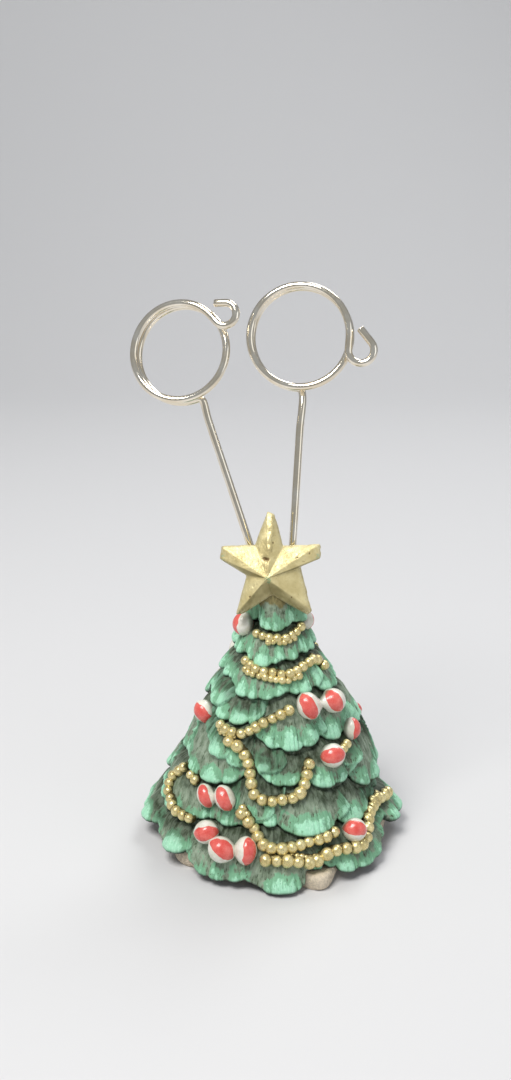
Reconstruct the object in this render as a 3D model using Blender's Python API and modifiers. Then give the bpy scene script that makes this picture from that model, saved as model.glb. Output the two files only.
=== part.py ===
"""Christmas tree card holder: a painted resin tree on a bare resin foot, with a gold
star and two steel wires that end in coiled card clips.

Metres, +Z up, origin on the table under the middle of the tree, front towards -Y.
An azimuth is in degrees round the tree, 0 at the front and positive towards +X.
"""

import math

import bmesh
import bpy
from mathutils import Matrix, Vector
from mathutils.bvhtree import BVHTree

MM = 0.001

# Clearances between pieces
SEAT_GAP = 0.3 * MM
TIER_GAP = 0.6 * MM

# How far a cutter runs on past the surface that it cuts, and the distance at which
# two corners of a mesh become one
CUTTER_REACH = 20 * MM
WELD = 0.01 * MM

# The cone that the tips of the branches lie on
CONE_RADIUS = 36.6 * MM
CONE_TAPER = 0.465
TREE_SIDES = 120

# Unpainted foot
PLINTH_HEIGHT = 4.6 * MM
PLINTH_RADIUS = 29.6 * MM
PLINTH_CHAMFER = 0.9 * MM
# Bulges of its edge: azimuth, half width in degrees, added radius
PLINTH_BUMPS = (
    (21, 16, 6.2 * MM),
    (-48, 15, 2.6 * MM),
    (98, 30, 1.6 * MM),
    (168, 26, 1.2 * MM),
    (-118, 25, 1.5 * MM),
)

# Branch tiers
CAP_TOP_RADIUS = 6.8 * MM
CAP_TOP_HEIGHT = 74.5 * MM
TIER_WALL = 1.3 * MM
LIP_THICKNESS = 1.9 * MM
LIP_ROUNDING = 0.6 * MM
# Height of each step of the last tier's underside, where it lies over the foot
LIP_STEP = 0.15 * MM
LIP_RECESS = 0.6 * MM
# Radius of a tier's hidden top, as a share of its radius under the lip above
HIDDEN_TOP = 0.85
UNDERCUT = 1.0 * MM
FROND_SWELL = 0.9 * MM
# How far a frond's lip rises to its edges and past them, as shares of its half width
FROND_CURL = 0.27
FROND_SIDE = 1.0
# How much higher a neighbour's edge may be and still draw the lip towards its reach
REACH_BLEND = 1.2 * MM
# Share of the way out to the lip, share of the way down to it, and how much of the lip's
# lobes shows there
CROWN_PROFILE = ((0.0, 0.0, 0.0), (0.62, 0.4, 0.3), (0.88, 0.76, 1.0), (1.0, 1.0, 1.0))

# The fronds of each tier: azimuth, half width in degrees, height of the lip and reach
# beyond the cone
TIERS = (
    (
        (3, 38, 59.8 * MM, 0.4 * MM),
        (66, 32, 60.8 * MM, 1.3 * MM),
        (126, 32, 61.0 * MM, 0.3 * MM),
        (182, 30, 60.4 * MM, 0.3 * MM),
        (-122, 32, 60.8 * MM, 0.3 * MM),
        (-63, 32, 61.2 * MM, -0.4 * MM),
    ),
    (
        (-14, 26, 52.0 * MM, 0.2 * MM),
        (25, 22, 53.0 * MM, 0.2 * MM),
        (65, 26, 53.4 * MM, -0.4 * MM),
        (110, 28, 53.2 * MM, 0.0),
        (157, 28, 52.8 * MM, 0.0),
        (-155, 28, 53.0 * MM, 0.0),
        (-107, 28, 53.2 * MM, -0.8 * MM),
        (-59, 26, 53.2 * MM, -0.9 * MM),
    ),
    (
        (-17, 35, 44.4 * MM, 0.3 * MM),
        (31, 24, 45.2 * MM, 0.2 * MM),
        (74, 26, 43.6 * MM, 1.0 * MM),
        (120, 28, 44.4 * MM, 0.3 * MM),
        (166, 28, 45.0 * MM, 0.3 * MM),
        (-148, 28, 45.0 * MM, 0.0),
        (-104, 26, 46.0 * MM, -1.1 * MM),
        (-68, 24, 46.8 * MM, -0.9 * MM),
    ),
    (
        (-37, 26, 37.9 * MM, 0.0),
        (15, 28, 32.9 * MM, 0.2 * MM),
        (60, 26, 32.7 * MM, 0.4 * MM),
        (102, 26, 31.6 * MM, 2.0 * MM),
        (148, 28, 33.4 * MM, 0.5 * MM),
        (-166, 28, 35.0 * MM, 0.2 * MM),
        (-122, 26, 36.8 * MM, 0.0),
        (-86, 25, 41.8 * MM, -1.0 * MM),
    ),
    (
        (-45, 30, 23.3 * MM, -0.3 * MM),
        (4, 18, 24.7 * MM, 0.2 * MM),
        (38, 22, 23.1 * MM, 0.2 * MM),
        (77, 21, 18.2 * MM, 0.4 * MM),
        (98, 15, 18.8 * MM, 0.8 * MM),
        (128, 28, 20.8 * MM, 0.3 * MM),
        (176, 28, 22.4 * MM, 0.2 * MM),
        (-135, 28, 23.0 * MM, 0.0),
        (-90, 24, 24.6 * MM, -1.2 * MM),
    ),
    (
        (-62, 32, 12.4 * MM, -0.3 * MM),
        (-24, 20, 14.8 * MM, -0.4 * MM),
        (-3, 14, 15.8 * MM, -0.3 * MM),
        (22, 22, 13.6 * MM, 0.1 * MM),
        (50, 15, 12.5 * MM, -1.2 * MM),
        (70, 12, 13.2 * MM, -2.3 * MM),
        (94, 20, 12.6 * MM, -2.7 * MM),
        (124, 19, 12.8 * MM, -1.5 * MM),
        (150, 20, 12.8 * MM, -0.2 * MM),
        (-176, 28, 13.4 * MM, 0.2 * MM),
        (-126, 30, 12.6 * MM, 0.2 * MM),
    ),
    (
        (4, 17, 1.4 * MM, 0.0),
        (-24, 18, 2.6 * MM, 0.0),
        (43, 20, 3.0 * MM, 0.0),
        (90, 20, 5.2 * MM, 0.3 * MM),
        (126, 24, 3.6 * MM, 0.0),
        (166, 24, 2.8 * MM, 0.0),
        (-152, 24, 3.2 * MM, 0.0),
        (-112, 24, 4.2 * MM, 0.0),
        (-84, 18, 5.2 * MM, 0.3 * MM),
        (-54, 13, 4.6 * MM, -0.2 * MM),
    ),
)

# Lobes in view along the lip of each tier: azimuth, half width in degrees, and swell
LOBES = (
    (
        (-50, 12, 0.3 * MM),
        (-20, 16, 0.4 * MM),
        (8, 16, 0.5 * MM),
        (38, 15, 0.4 * MM),
        (68, 14, 0.4 * MM),
    ),
    (
        (-72, 9, 0.5 * MM),
        (-57, 8, 0.7 * MM),
        (-38, 8, 0.5 * MM),
        (-14, 12, 1.0 * MM),
        (8, 9, 0.7 * MM),
        (28, 10, 0.4 * MM),
        (52, 11, 0.7 * MM),
        (72, 10, 0.8 * MM),
    ),
    (
        (-82, 8, 0.6 * MM),
        (-68, 8, 0.7 * MM),
        (-54, 7, 0.6 * MM),
        (-33, 8, 0.9 * MM),
        (-20, 7, 0.6 * MM),
        (-5, 8, 0.6 * MM),
        (9, 8, 0.7 * MM),
        (22, 6, 0.5 * MM),
        (33, 9, 0.8 * MM),
        (57, 13, 0.8 * MM),
        (76, 8, 0.6 * MM),
        (93, 8, 0.8 * MM),
    ),
    (
        (-76, 6, 0.8 * MM),
        (-65, 6, 0.7 * MM),
        (-47, 9, 0.8 * MM),
        (-29, 9, 0.9 * MM),
        (-14, 7, 0.5 * MM),
        (-2, 6, 0.6 * MM),
        (14, 8, 1.0 * MM),
        (31, 9, 0.8 * MM),
        (48, 9, 1.0 * MM),
        (71, 9, 0.9 * MM),
        (86, 7, 0.9 * MM),
        (100, 8, 0.9 * MM),
    ),
    (
        (-86, 7, 0.8 * MM),
        (-73, 7, 0.9 * MM),
        (-57, 9, 0.8 * MM),
        (-40, 9, 1.1 * MM),
        (-26, 7, 0.7 * MM),
        (-6, 7, 0.6 * MM),
        (3, 5, 0.5 * MM),
        (12, 7, 0.6 * MM),
        (31, 9, 1.0 * MM),
        (45, 7, 0.6 * MM),
        (62, 8, 0.7 * MM),
        (80, 9, 1.0 * MM),
        (97, 8, 0.9 * MM),
    ),
    (
        (-88, 6, 0.8 * MM),
        (-77, 6, 0.8 * MM),
        (-66, 6, 0.7 * MM),
        (-55, 6, 0.8 * MM),
        (-46, 5, 0.6 * MM),
        (-36, 5, 0.6 * MM),
        (-24, 6, 0.6 * MM),
        (-11, 5, 0.6 * MM),
        (-1, 4, 0.8 * MM),
        (7, 4, 0.5 * MM),
        (20, 14, 1.3 * MM),
        (46, 10, 1.0 * MM),
        (60, 6, 0.7 * MM),
        (72, 6, 0.8 * MM),
        (86, 7, 0.9 * MM),
        (99, 6, 0.8 * MM),
    ),
    (
        (-92, 6, 1.0 * MM),
        (-81, 7, 1.2 * MM),
        (-67, 6, 0.6 * MM),
        (-50, 8, 1.4 * MM),
        (-40, 4, 0.5 * MM),
        (-32, 5, 0.6 * MM),
        (-24, 5, 0.6 * MM),
        (-14, 6, 0.6 * MM),
        (4, 9, 1.3 * MM),
        (24, 6, 0.5 * MM),
        (34, 6, 0.7 * MM),
        (45, 6, 0.7 * MM),
        (54, 5, 0.6 * MM),
        (65, 5, 0.6 * MM),
        (79, 6, 0.9 * MM),
        (93, 7, 1.2 * MM),
    ),
)
# What is taken off a lip all round, so that its lobes straddle it, and how far it
# rises where less than that is left between lobes, as a share of what is missing
LOBE_LEVEL = 0.6 * MM
LOBE_NOTCH = 0.9
# Lobes behind, which follow each other evenly: their pitch along the lip, half width as
# a share of it, swell, and how much of their place and of their swell varies
LOBE_PITCH = 4.8 * MM
LOBE_HALF = 0.65
LOBE_SWELL = 0.8 * MM
LOBE_STRAY = 0.15
LOBE_VARIETY = 0.3
# Radians from the variation of one lobe to that of the next
LOBE_TURN = 2.4

# Gold star, as (across, up the tilted face) from its ridge point: the two ends of each
# blunt tip, and the inner corner after it
STAR_PLACE = (-1.6 * MM, -9.5 * MM, 74.5 * MM)
STAR_TILT = 20
STAR_RIDGE = 3.2 * MM
STAR_RIM = 2.6 * MM
STAR_ROUNDING = 0.35 * MM
STAR_TIPS = (
    ((0.0, 16.8 * MM), (1.8 * MM, 16.6 * MM)),
    ((13.5 * MM, 8.8 * MM), (13.6 * MM, 5.2 * MM)),
    ((11.4 * MM, -8.1 * MM), (10.3 * MM, -9.1 * MM)),
    ((-5.9 * MM, -8.9 * MM), (-7.6 * MM, -8.9 * MM)),
    ((-11.9 * MM, 4.9 * MM), (-11.4 * MM, 8.0 * MM)),
)
STAR_CORNERS = (
    (4.0 * MM, 8.3 * MM),
    (8.4 * MM, 3.0 * MM),
    (1.3 * MM, -4.2 * MM),
    (-5.2 * MM, 0.8 * MM),
    (-3.0 * MM, 8.5 * MM),
)

# Wires and their sockets. Their plane leans back and passes through SOCKET_PLACE.
WIRE_DIAMETER = 2.0 * MM
WIRE_LEAN = 15
SOCKET_PLACE = (0.0, 1.5 * MM, 74.0 * MM)
SOCKET_DEPTH = 9.4 * MM
SOCKET_FLOOR = 1.6 * MM
SOCKET_SIDES = 16
COIL_PITCH = 3.2 * MM
COIL_POINTS = 24
HOOK_POINTS = 12
BEND_POINTS = 8

# Places across the plane (u) and up it (v), angles in degrees
WIRES = {
    "clip_wire_left": {
        "mouth": (-4.2 * MM, 0.0),
        "stem_end": (-17.9 * MM, 40.6 * MM),
        "coil_center": (-23.9 * MM, 54.4 * MM),
        "coil_radius": 12.3 * MM,
        "coil_lean": 8,
        "coil_yaw": 17,
        "coil_start": -72,
        "coil_end": 42,
        "bend_pull": (9 * MM, 7 * MM),
        "hook_lead": 2.4 * MM,
        "hook_radius": 2.9 * MM,
        "hook_turn": 225,
        "tail": 3.0 * MM,
    },
    "clip_wire_right": {
        "mouth": (4.65 * MM, 0.0),
        "stem_end": (6.8 * MM, 38.6 * MM),
        "coil_center": (6.6 * MM, 58.5 * MM),
        "coil_radius": 12.8 * MM,
        "coil_lean": 3,
        "coil_yaw": 8,
        "coil_start": -93,
        "coil_end": -4,
        "bend_pull": (9 * MM, 7 * MM),
        "hook_lead": 3.0 * MM,
        "hook_radius": 3.2 * MM,
        "hook_turn": 222,
        "tail": 4.6 * MM,
    },
}

# Peppermint candies: azimuth, height and radius
CANDIES = (
    (-64, 60.1 * MM, 2.7 * MM),
    (88, 59.7 * MM, 2.2 * MM),
    (-67, 37.2 * MM, 2.8 * MM),
    (29.5, 42.8 * MM, 3.1 * MM),
    (54.5, 42.0 * MM, 3.1 * MM),
    (66, 33.2 * MM, 2.4 * MM),
    (38.4, 30.6 * MM, 3.1 * MM),
    (-37.6, 20.3 * MM, 2.7 * MM),
    (-25.4, 21.5 * MM, 2.9 * MM),
    (-31.4, 13.0 * MM, 3.2 * MM),
    (-22, 10.5 * MM, 3.3 * MM),
    (-11.6, 10.7 * MM, 3.1 * MM),
    (41.6, 11.9 * MM, 3.1 * MM),
    (160, 56.4 * MM, 2.5 * MM),
    (146, 41.6 * MM, 3.0 * MM),
    (-148, 45.2 * MM, 2.9 * MM),
    (-172, 28.8 * MM, 3.1 * MM),
    (126, 26.0 * MM, 3.0 * MM),
    (136, 10.2 * MM, 3.2 * MM),
    (-138, 20.6 * MM, 3.1 * MM),
)
CANDY_SUBDIVISIONS = 2
CANDY_SINK = 0.45
PRESS_STEP = 0.1 * MM
PRESS_STEPS = 40
PRESS_REACH = 5 * MM

# Bead garlands: name, bead diameter, and the points (azimuth, height) it hangs through
GARLANDS = (
    (
        "garland_crown",
        2.1 * MM,
        (
            (-36, 59.1 * MM),
            (-27, 58.7 * MM),
            (-13, 58.6 * MM),
            (5, 58.2 * MM),
            (23, 58.4 * MM),
            (41, 59.0 * MM),
            (53, 59.4 * MM),
            (61, 60.2 * MM),
        ),
    ),
    (
        "garland_crown_back",
        2.1 * MM,
        (
            (112, 58.2 * MM),
            (126, 57.6 * MM),
            (142, 57.0 * MM),
        ),
    ),
    (
        "garland_upper",
        2.3 * MM,
        (
            (-43, 52.1 * MM),
            (-33, 51.6 * MM),
            (-22, 51.1 * MM),
            (-10, 50.8 * MM),
            (3, 50.4 * MM),
            (16, 50.2 * MM),
            (31, 51.0 * MM),
            (47, 51.6 * MM),
            (59, 51.8 * MM),
            (64, 50.4 * MM),
            (67, 48.7 * MM),
        ),
    ),
    (
        "garland_upper_back",
        2.3 * MM,
        (
            (130, 47.4 * MM),
            (142, 48.2 * MM),
            (156, 49.4 * MM),
            (180, 51.2 * MM),
            (212, 51.0 * MM),
            (232, 51.4 * MM),
        ),
    ),
    (
        "garland_middle",
        2.5 * MM,
        (
            (-43.5, 37.7 * MM),
            (-38, 36.7 * MM),
            (-31, 36.3 * MM),
            (-24, 36.2 * MM),
            (-18.5, 36.6 * MM),
            (-13, 38.0 * MM),
            (-6.5, 39.4 * MM),
            (2.5, 40.7 * MM),
            (11, 41.9 * MM),
            (17, 42.5 * MM),
        ),
    ),
    (
        "garland_middle_back",
        2.5 * MM,
        (
            (128, 37.4 * MM),
            (140, 36.8 * MM),
            (156, 35.6 * MM),
            (185, 36.4 * MM),
            (216, 38.4 * MM),
            (230, 39.0 * MM),
        ),
    ),
    (
        "garland_drape",
        2.8 * MM,
        (
            (-33, 34.5 * MM),
            (-28, 34.2 * MM),
            (-22.3, 33.4 * MM),
            (-17.2, 31.3 * MM),
            (-14, 28.7 * MM),
            (-12.8, 25.7 * MM),
            (-9.5, 23.0 * MM),
            (-3.8, 21.9 * MM),
            (2.7, 21.9 * MM),
            (8.8, 22.1 * MM),
            (15.2, 23.0 * MM),
            (19.8, 25.4 * MM),
            (22, 27.9 * MM),
            (25.5, 30.3 * MM),
        ),
    ),
    (
        "garland_drape_end",
        2.4 * MM,
        (
            (49, 30.1 * MM),
            (53.5, 30.4 * MM),
            (58, 31.0 * MM),
        ),
    ),
    (
        "garland_swag_start",
        2.3 * MM,
        (
            (-57, 22.9 * MM),
            (-52.5, 22.3 * MM),
            (-47.5, 21.8 * MM),
        ),
    ),
    (
        "garland_swag",
        2.7 * MM,
        (
            (-17.5, 19.2 * MM),
            (-12.8, 17.8 * MM),
            (-9.2, 15.4 * MM),
            (-6.2, 13.1 * MM),
            (-2.8, 11.7 * MM),
            (2, 11.4 * MM),
            (7.6, 11.6 * MM),
            (12.4, 11.6 * MM),
            (16.6, 11.6 * MM),
            (21, 12.2 * MM),
            (25.5, 12.8 * MM),
            (32.5, 13.0 * MM),
        ),
    ),
    (
        "garland_loop",
        2.5 * MM,
        (
            (-60.5, 23.8 * MM),
            (-65, 22.2 * MM),
            (-68.5, 20.2 * MM),
            (-69.6, 17.9 * MM),
            (-65.5, 16.2 * MM),
            (-58.5, 15.0 * MM),
            (-53, 14.2 * MM),
            (-48, 14.0 * MM),
            (-41.5, 13.6 * MM),
        ),
    ),
    (
        "garland_hem",
        2.9 * MM,
        (
            (-5, 9.0 * MM),
            (0, 9.0 * MM),
            (5.2, 9.0 * MM),
            (10.9, 8.4 * MM),
            (15, 7.7 * MM),
            (18.6, 7.3 * MM),
            (22.5, 8.0 * MM),
            (27.5, 8.9 * MM),
            (33, 8.9 * MM),
            (38.5, 8.2 * MM),
            (45, 8.3 * MM),
            (50, 9.6 * MM),
            (53.5, 11.0 * MM),
            (60, 12.0 * MM),
            (70, 12.2 * MM),
            (80, 11.6 * MM),
            (88, 10.8 * MM),
        ),
    ),
    (
        "garland_hem_rear",
        2.6 * MM,
        (
            (151, 10.4 * MM),
            (168, 12.0 * MM),
            (184, 12.6 * MM),
            (206, 11.4 * MM),
            (234, 9.8 * MM),
        ),
    ),
)
BEAD_SPACING = 0.95
NECK_SHARE = 0.38
# Share of the way from one neck to the next, and share of the bead's radius
BEAD_PROFILE = ((0.27, 1.0), (0.73, 1.0), (1.0, NECK_SHARE))
STRAND_SLOPE = 0.9
STRAND_STEPS = 10
TRACE_START = 60 * MM
TRACE_END = 2 * MM
TRACE_STEPS = 80
TRACE_CLOSE = 0.01 * MM

COLLECTION = "card_holder"


def clear_scene():
    for obj in list(bpy.data.objects):
        bpy.data.objects.remove(obj, do_unlink=True)


def collection(name):
    made = bpy.data.collections.new(name)
    bpy.context.scene.collection.children.link(made)
    return made


def material(name, color, roughness, metallic=0.0):
    made = bpy.data.materials.new(name)
    made.use_nodes = True
    shader = made.node_tree.nodes["Principled BSDF"]
    shader.inputs["Base Color"].default_value = (*color, 1.0)
    shader.inputs["Roughness"].default_value = roughness
    shader.inputs["Metallic"].default_value = metallic
    made.diffuse_color = (*color, 1.0)
    return made


def mesh_object(bm, name, finish, place):
    """An object from a bmesh, with its faces pointing out and shaded smooth."""
    bmesh.ops.recalc_face_normals(bm, faces=bm.faces)
    mesh = bpy.data.meshes.new(name)
    bm.to_mesh(mesh)
    bm.free()
    mesh.shade_smooth()
    mesh.set_sharp_from_angle(angle=math.radians(50))
    if finish:
        mesh.materials.append(finish)
    obj = bpy.data.objects.new(name, mesh)
    place.objects.link(obj)
    return obj


def loft(rings):
    """A closed body through rings of equally many points, with a flat cap at each end."""
    bm = bmesh.new()
    loops = [[bm.verts.new(point) for point in ring] for ring in rings]
    for upper, lower in zip(loops, loops[1:]):
        count = len(upper)
        for i in range(count):
            j = (i + 1) % count
            bm.faces.new((upper[i], upper[j], lower[j], lower[i]))
    bm.faces.new(loops[0])
    bm.faces.new(loops[-1])
    return bm


def turned_away(azimuth, center):
    """How far one azimuth is from another, from -180 to 180."""
    return (azimuth - center + 180) % 360 - 180


def polar(azimuth, radius, height):
    angle = math.radians(azimuth)
    return Vector((radius * math.sin(angle), -radius * math.cos(angle), height))


def azimuths():
    return [360 * i / TREE_SIDES for i in range(TREE_SIDES)]


def plinth_radius(azimuth):
    radius = PLINTH_RADIUS
    for center, half_width, change in PLINTH_BUMPS:
        away = abs(turned_away(azimuth, center)) / half_width
        if away < 1:
            radius += change * (1 + math.cos(math.pi * away)) / 2
    return radius


def frond_edge(tier, azimuth):
    """(radius, height) of the lowest frond of a tier, eased to its neighbours' reach."""
    edges = []
    for center, half_width, height, reach in TIERS[tier]:
        away = abs(turned_away(azimuth, center)) / half_width
        arc = math.radians(half_width) * cone_radius(height)
        rise = arc * (FROND_CURL * min(away, 1) ** 3 + FROND_SIDE * max(away - 1, 0))
        edges.append((height + rise, reach + FROND_SWELL * (0.5 - min(away, 1) ** 2)))
    lowest = min(height for height, _ in edges)
    weights = [math.exp((lowest - height) / REACH_BLEND) for height, _ in edges]
    blended = sum(w * reach for w, (_, reach) in zip(weights, edges)) / sum(weights)
    return cone_radius(lowest) + blended, lowest


def over_foot(azimuth):
    """Whether the foot sticks out so far that the last tier can't hang round it."""
    radius, _ = frond_edge(len(TIERS) - 1, azimuth)
    return radius < plinth_radius(azimuth) + SEAT_GAP + LIP_THICKNESS


def lip(tier, azimuth):
    """(radius, height) of a tier's lip. The last tier's stays above the foot's bulges."""
    radius, height = frond_edge(tier, azimuth)
    step = 360 / TREE_SIDES
    if tier == len(TIERS) - 1 and any(over_foot(azimuth + turn) for turn in (-step, 0, step)):
        raised = max(height, PLINTH_HEIGHT + SEAT_GAP)
        radius += cone_radius(raised) - cone_radius(height)
        height = raised
    return radius, height


def cone_radius(height):
    return CONE_RADIUS - CONE_TAPER * height


def lobes(tier):
    """A tier's lobes all the way round: those in view, then those that fit behind."""
    row = list(LOBES[tier])
    start, end = row[-1][0], row[0][0] + 360
    length = math.radians(end - start) * cone_radius(TIERS[tier][0][2])
    count = round(length / LOBE_PITCH)
    step = (end - start) / count
    for i in range(1, count):
        vary = math.sin(LOBE_TURN * i + tier)
        azimuth = start + (i + LOBE_STRAY * vary) * step
        row.append((azimuth, LOBE_HALF * step, LOBE_SWELL * (1 + LOBE_VARIETY * vary)))
    return row


def swell(tier, azimuth):
    """How far the lobes stand out: rounded tops that meet in creases."""
    most = 0.0
    for center, half_width, height in lobes(tier):
        share = turned_away(azimuth, center) / half_width
        most = max(most, height * (1 - share**2))
    return most


def edge(tier, azimuth):
    """(radius, height) of a tier's lip with its lobes."""
    radius, height = lip(tier, azimuth)
    change = swell(tier, azimuth) - LOBE_LEVEL
    return radius + change, height + LOBE_NOTCH * max(-change, 0)


def tuck(tier, azimuth):
    """(radius, height) at which a tier's crown passes under the lip of the tier above."""
    radius, height = lip(tier - 1, azimuth)
    return radius - LIP_THICKNESS, height - LIP_RECESS


def crown(tier, azimuth):
    """A tier's upper surface at one azimuth, as (radius, height) from its top to its lip."""
    points = []
    inner_radius, inner_height = CAP_TOP_RADIUS, CAP_TOP_HEIGHT
    if tier > 0:
        points.append(hidden_top(tier))
        inner_radius, inner_height = tuck(tier, azimuth)
    lip_radius = lip(tier, azimuth)[0]
    edge_radius, edge_height = edge(tier, azimuth)
    low = edge_height + LIP_ROUNDING
    for out, down, lobed in CROWN_PROFILE:
        radius = inner_radius + out * (lip_radius - inner_radius)
        radius += lobed * (edge_radius - lip_radius)
        points.append((radius, inner_height + down * (low - inner_height)))
    return points


def crown_height(tier, azimuth, radius):
    """Height of a tier's upper surface at a radius inside its lip."""
    points = crown(tier, azimuth)
    for (inner, high), (outer, low) in zip(points, points[1:]):
        if radius <= outer:
            return high + (low - high) * (radius - inner) / (outer - inner)
    return points[-1][1]


def socket_floor():
    """Lowest height that a socket reaches."""
    lean = math.radians(WIRE_LEAN)
    return SOCKET_PLACE[2] - (SOCKET_DEPTH + SEAT_GAP) * math.cos(lean) - WIRE_DIAMETER / 2


TOPS = {}


def hidden_top(tier):
    """(radius, height) of the top of a tier, which the tier above sits on."""
    if tier not in TOPS:
        radius = HIDDEN_TOP * min(tuck(tier, azimuth)[0] for azimuth in azimuths())
        if tier == 1:
            height = socket_floor() - SOCKET_FLOOR - TIER_GAP
        else:
            above = min(crown_height(tier - 1, azimuth, radius) for azimuth in azimuths())
            height = above - TIER_WALL - TIER_GAP
        TOPS[tier] = radius, height
    return TOPS[tier]


def tier_rings(tier):
    """A tier's rings: its crown from the top to the lip, then its underside."""
    crowns, rim, under, seat = [], [], [], []
    last = tier == len(TIERS) - 1
    for azimuth in azimuths():
        points = crown(tier, azimuth)
        crowns.append([polar(azimuth, *point) for point in points])
        edge_radius, edge_height = edge(tier, azimuth)
        rim_radius = edge_radius - LIP_ROUNDING
        rim.append(polar(azimuth, rim_radius, edge_height))
        if last:
            wall = min(plinth_radius(azimuth) + SEAT_GAP, rim_radius - LIP_ROUNDING)
            low = edge_height + LIP_STEP
            under.append(polar(azimuth, wall, low))
            high = max(PLINTH_HEIGHT + SEAT_GAP, low + LIP_STEP)
            seat.append(polar(azimuth, wall, high))
        else:
            inner = lip(tier, azimuth)[0] - LIP_THICKNESS - UNDERCUT
            below = crown_height(tier + 1, azimuth, inner) + TIER_GAP
            under.append(polar(azimuth, inner, below))
            top_radius, top_height = hidden_top(tier + 1)
            seat.append(polar(azimuth, top_radius, top_height + TIER_GAP))
    return [*zip(*crowns), rim, under, seat]


def plinth_rings():
    low = [polar(a, plinth_radius(a) - PLINTH_CHAMFER, 0) for a in azimuths()]
    side = [polar(a, plinth_radius(a), 2 * PLINTH_CHAMFER) for a in azimuths()]
    top = [polar(a, plinth_radius(a), PLINTH_HEIGHT) for a in azimuths()]
    return [low, side, top]


def star_outline(grow=0.0):
    """The star's outline, clockwise from its top tip, moved out by grow."""
    points = []
    for ends, corner in zip(STAR_TIPS, STAR_CORNERS):
        points += [Vector(p) for p in (*ends, corner)]
    grown = []
    for i, point in enumerate(points):
        before = (point - points[i - 1]).normalized()
        after = (points[(i + 1) % len(points)] - point).normalized()
        # The outline runs clockwise, so its outer side is on the left.
        side_a = Vector((-before.y, before.x))
        side_b = Vector((-after.y, after.x))
        grown.append(point + grow * (side_a + side_b) / (1 + side_a.dot(side_b)))
    return grown


def star_frame():
    """Matrix from the star's own axes, with +Z out of its face, to the tree's."""
    turn = Matrix.Rotation(math.radians(90 - STAR_TILT), 4, "X")
    return Matrix.Translation(STAR_PLACE) @ turn


def star_body():
    """A low cone pulled out into a five-pointed star, with a rim behind it."""
    bm = bmesh.new()
    outline = star_outline()
    bmesh.ops.create_cone(
        bm,
        cap_ends=True,
        segments=len(outline),
        radius1=1,
        radius2=0,
        depth=STAR_RIDGE,
    )
    bmesh.ops.remove_doubles(bm, verts=bm.verts, dist=WELD)
    apex = max(bm.verts, key=lambda v: v.co.z)
    rim = [v for v in bm.verts if v is not apex]
    rim.sort(key=lambda v: -math.atan2(v.co.y, v.co.x))
    # The outline starts at the corner of the cone that is nearest to straight up.
    up = min(range(len(rim)), key=lambda i: rim[i].co.x ** 2 - rim[i].co.y)
    for i, point in enumerate(outline):
        rim[(up + i) % len(rim)].co = (point.x, point.y, -STAR_RIDGE)
    apex.co = (0, 0, 0)
    base = [face for face in bm.faces if apex not in face.verts]
    pushed = bmesh.ops.extrude_face_region(bm, geom=base)["geom"]
    back = [v for v in pushed if isinstance(v, bmesh.types.BMVert)]
    bmesh.ops.delete(bm, geom=base, context="FACES_ONLY")
    bmesh.ops.translate(bm, verts=back, vec=(0, 0, -STAR_RIM))
    return bm


def star_cutter(place):
    """The star's outline with its clearance, from its back face to well in front."""
    bm = bmesh.new()
    back = -STAR_RIDGE - STAR_RIM - SEAT_GAP
    face = bm.faces.new([bm.verts.new((p.x, p.y, back)) for p in star_outline(SEAT_GAP)])
    pushed = bmesh.ops.extrude_face_region(bm, geom=[face])["geom"]
    front = [v for v in pushed if isinstance(v, bmesh.types.BMVert)]
    bmesh.ops.translate(bm, verts=front, vec=(0, 0, CUTTER_REACH - back))
    bmesh.ops.transform(bm, matrix=star_frame(), verts=bm.verts)
    return helper(mesh_object(bm, "star_seat_cutter", None, place))


def helper(obj):
    obj.hide_render = True
    obj.display_type = "WIRE"
    return obj


def cut(obj, cutter):
    modifier = obj.modifiers.new(cutter.name, "BOOLEAN")
    modifier.operation = "DIFFERENCE"
    modifier.solver = "EXACT"
    modifier.object = cutter


def wire_plane(u, v, w=0.0):
    """A point across, up and out of the leaning plane that the wires stand in."""
    lean = math.radians(WIRE_LEAN)
    up = Vector((0, math.sin(lean), math.cos(lean)))
    out = Vector((0, -math.cos(lean), math.sin(lean)))
    return Vector(SOCKET_PLACE) + Vector((u, 0, 0)) + v * up + w * out


def stem_line(wire):
    """The wire's foot in its socket and its direction up the stem."""
    mouth = wire_plane(*wire["mouth"])
    end = wire_plane(*wire["stem_end"])
    direction = (end - mouth).normalized()
    return mouth - SOCKET_DEPTH * direction, direction, end


def socket_cutter(name, wire, place):
    foot, direction, _ = stem_line(wire)
    depth = SEAT_GAP + SOCKET_DEPTH + CUTTER_REACH
    bm = bmesh.new()
    bmesh.ops.create_cone(
        bm,
        cap_ends=True,
        segments=SOCKET_SIDES,
        radius1=WIRE_DIAMETER / 2 + SEAT_GAP,
        radius2=WIRE_DIAMETER / 2 + SEAT_GAP,
        depth=depth,
    )
    turn = direction.to_track_quat("Z", "Y").to_matrix().to_4x4()
    middle = foot + direction * (depth / 2 - SEAT_GAP)
    bmesh.ops.transform(bm, matrix=Matrix.Translation(middle) @ turn, verts=bm.verts)
    return helper(mesh_object(bm, name + "_socket_cutter", None, place))


def hermite(start, start_pull, end, end_pull, count):
    """Points of a smooth bend between two places, without either of them."""
    points = []
    for i in range(1, count):
        t = i / count
        a = 2 * t**3 - 3 * t**2 + 1
        b = t**3 - 2 * t**2 + t
        c = 3 * t**2 - 2 * t**3
        d = t**3 - t**2
        points.append(a * start + b * start_pull + c * end + d * end_pull)
    return points


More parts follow.
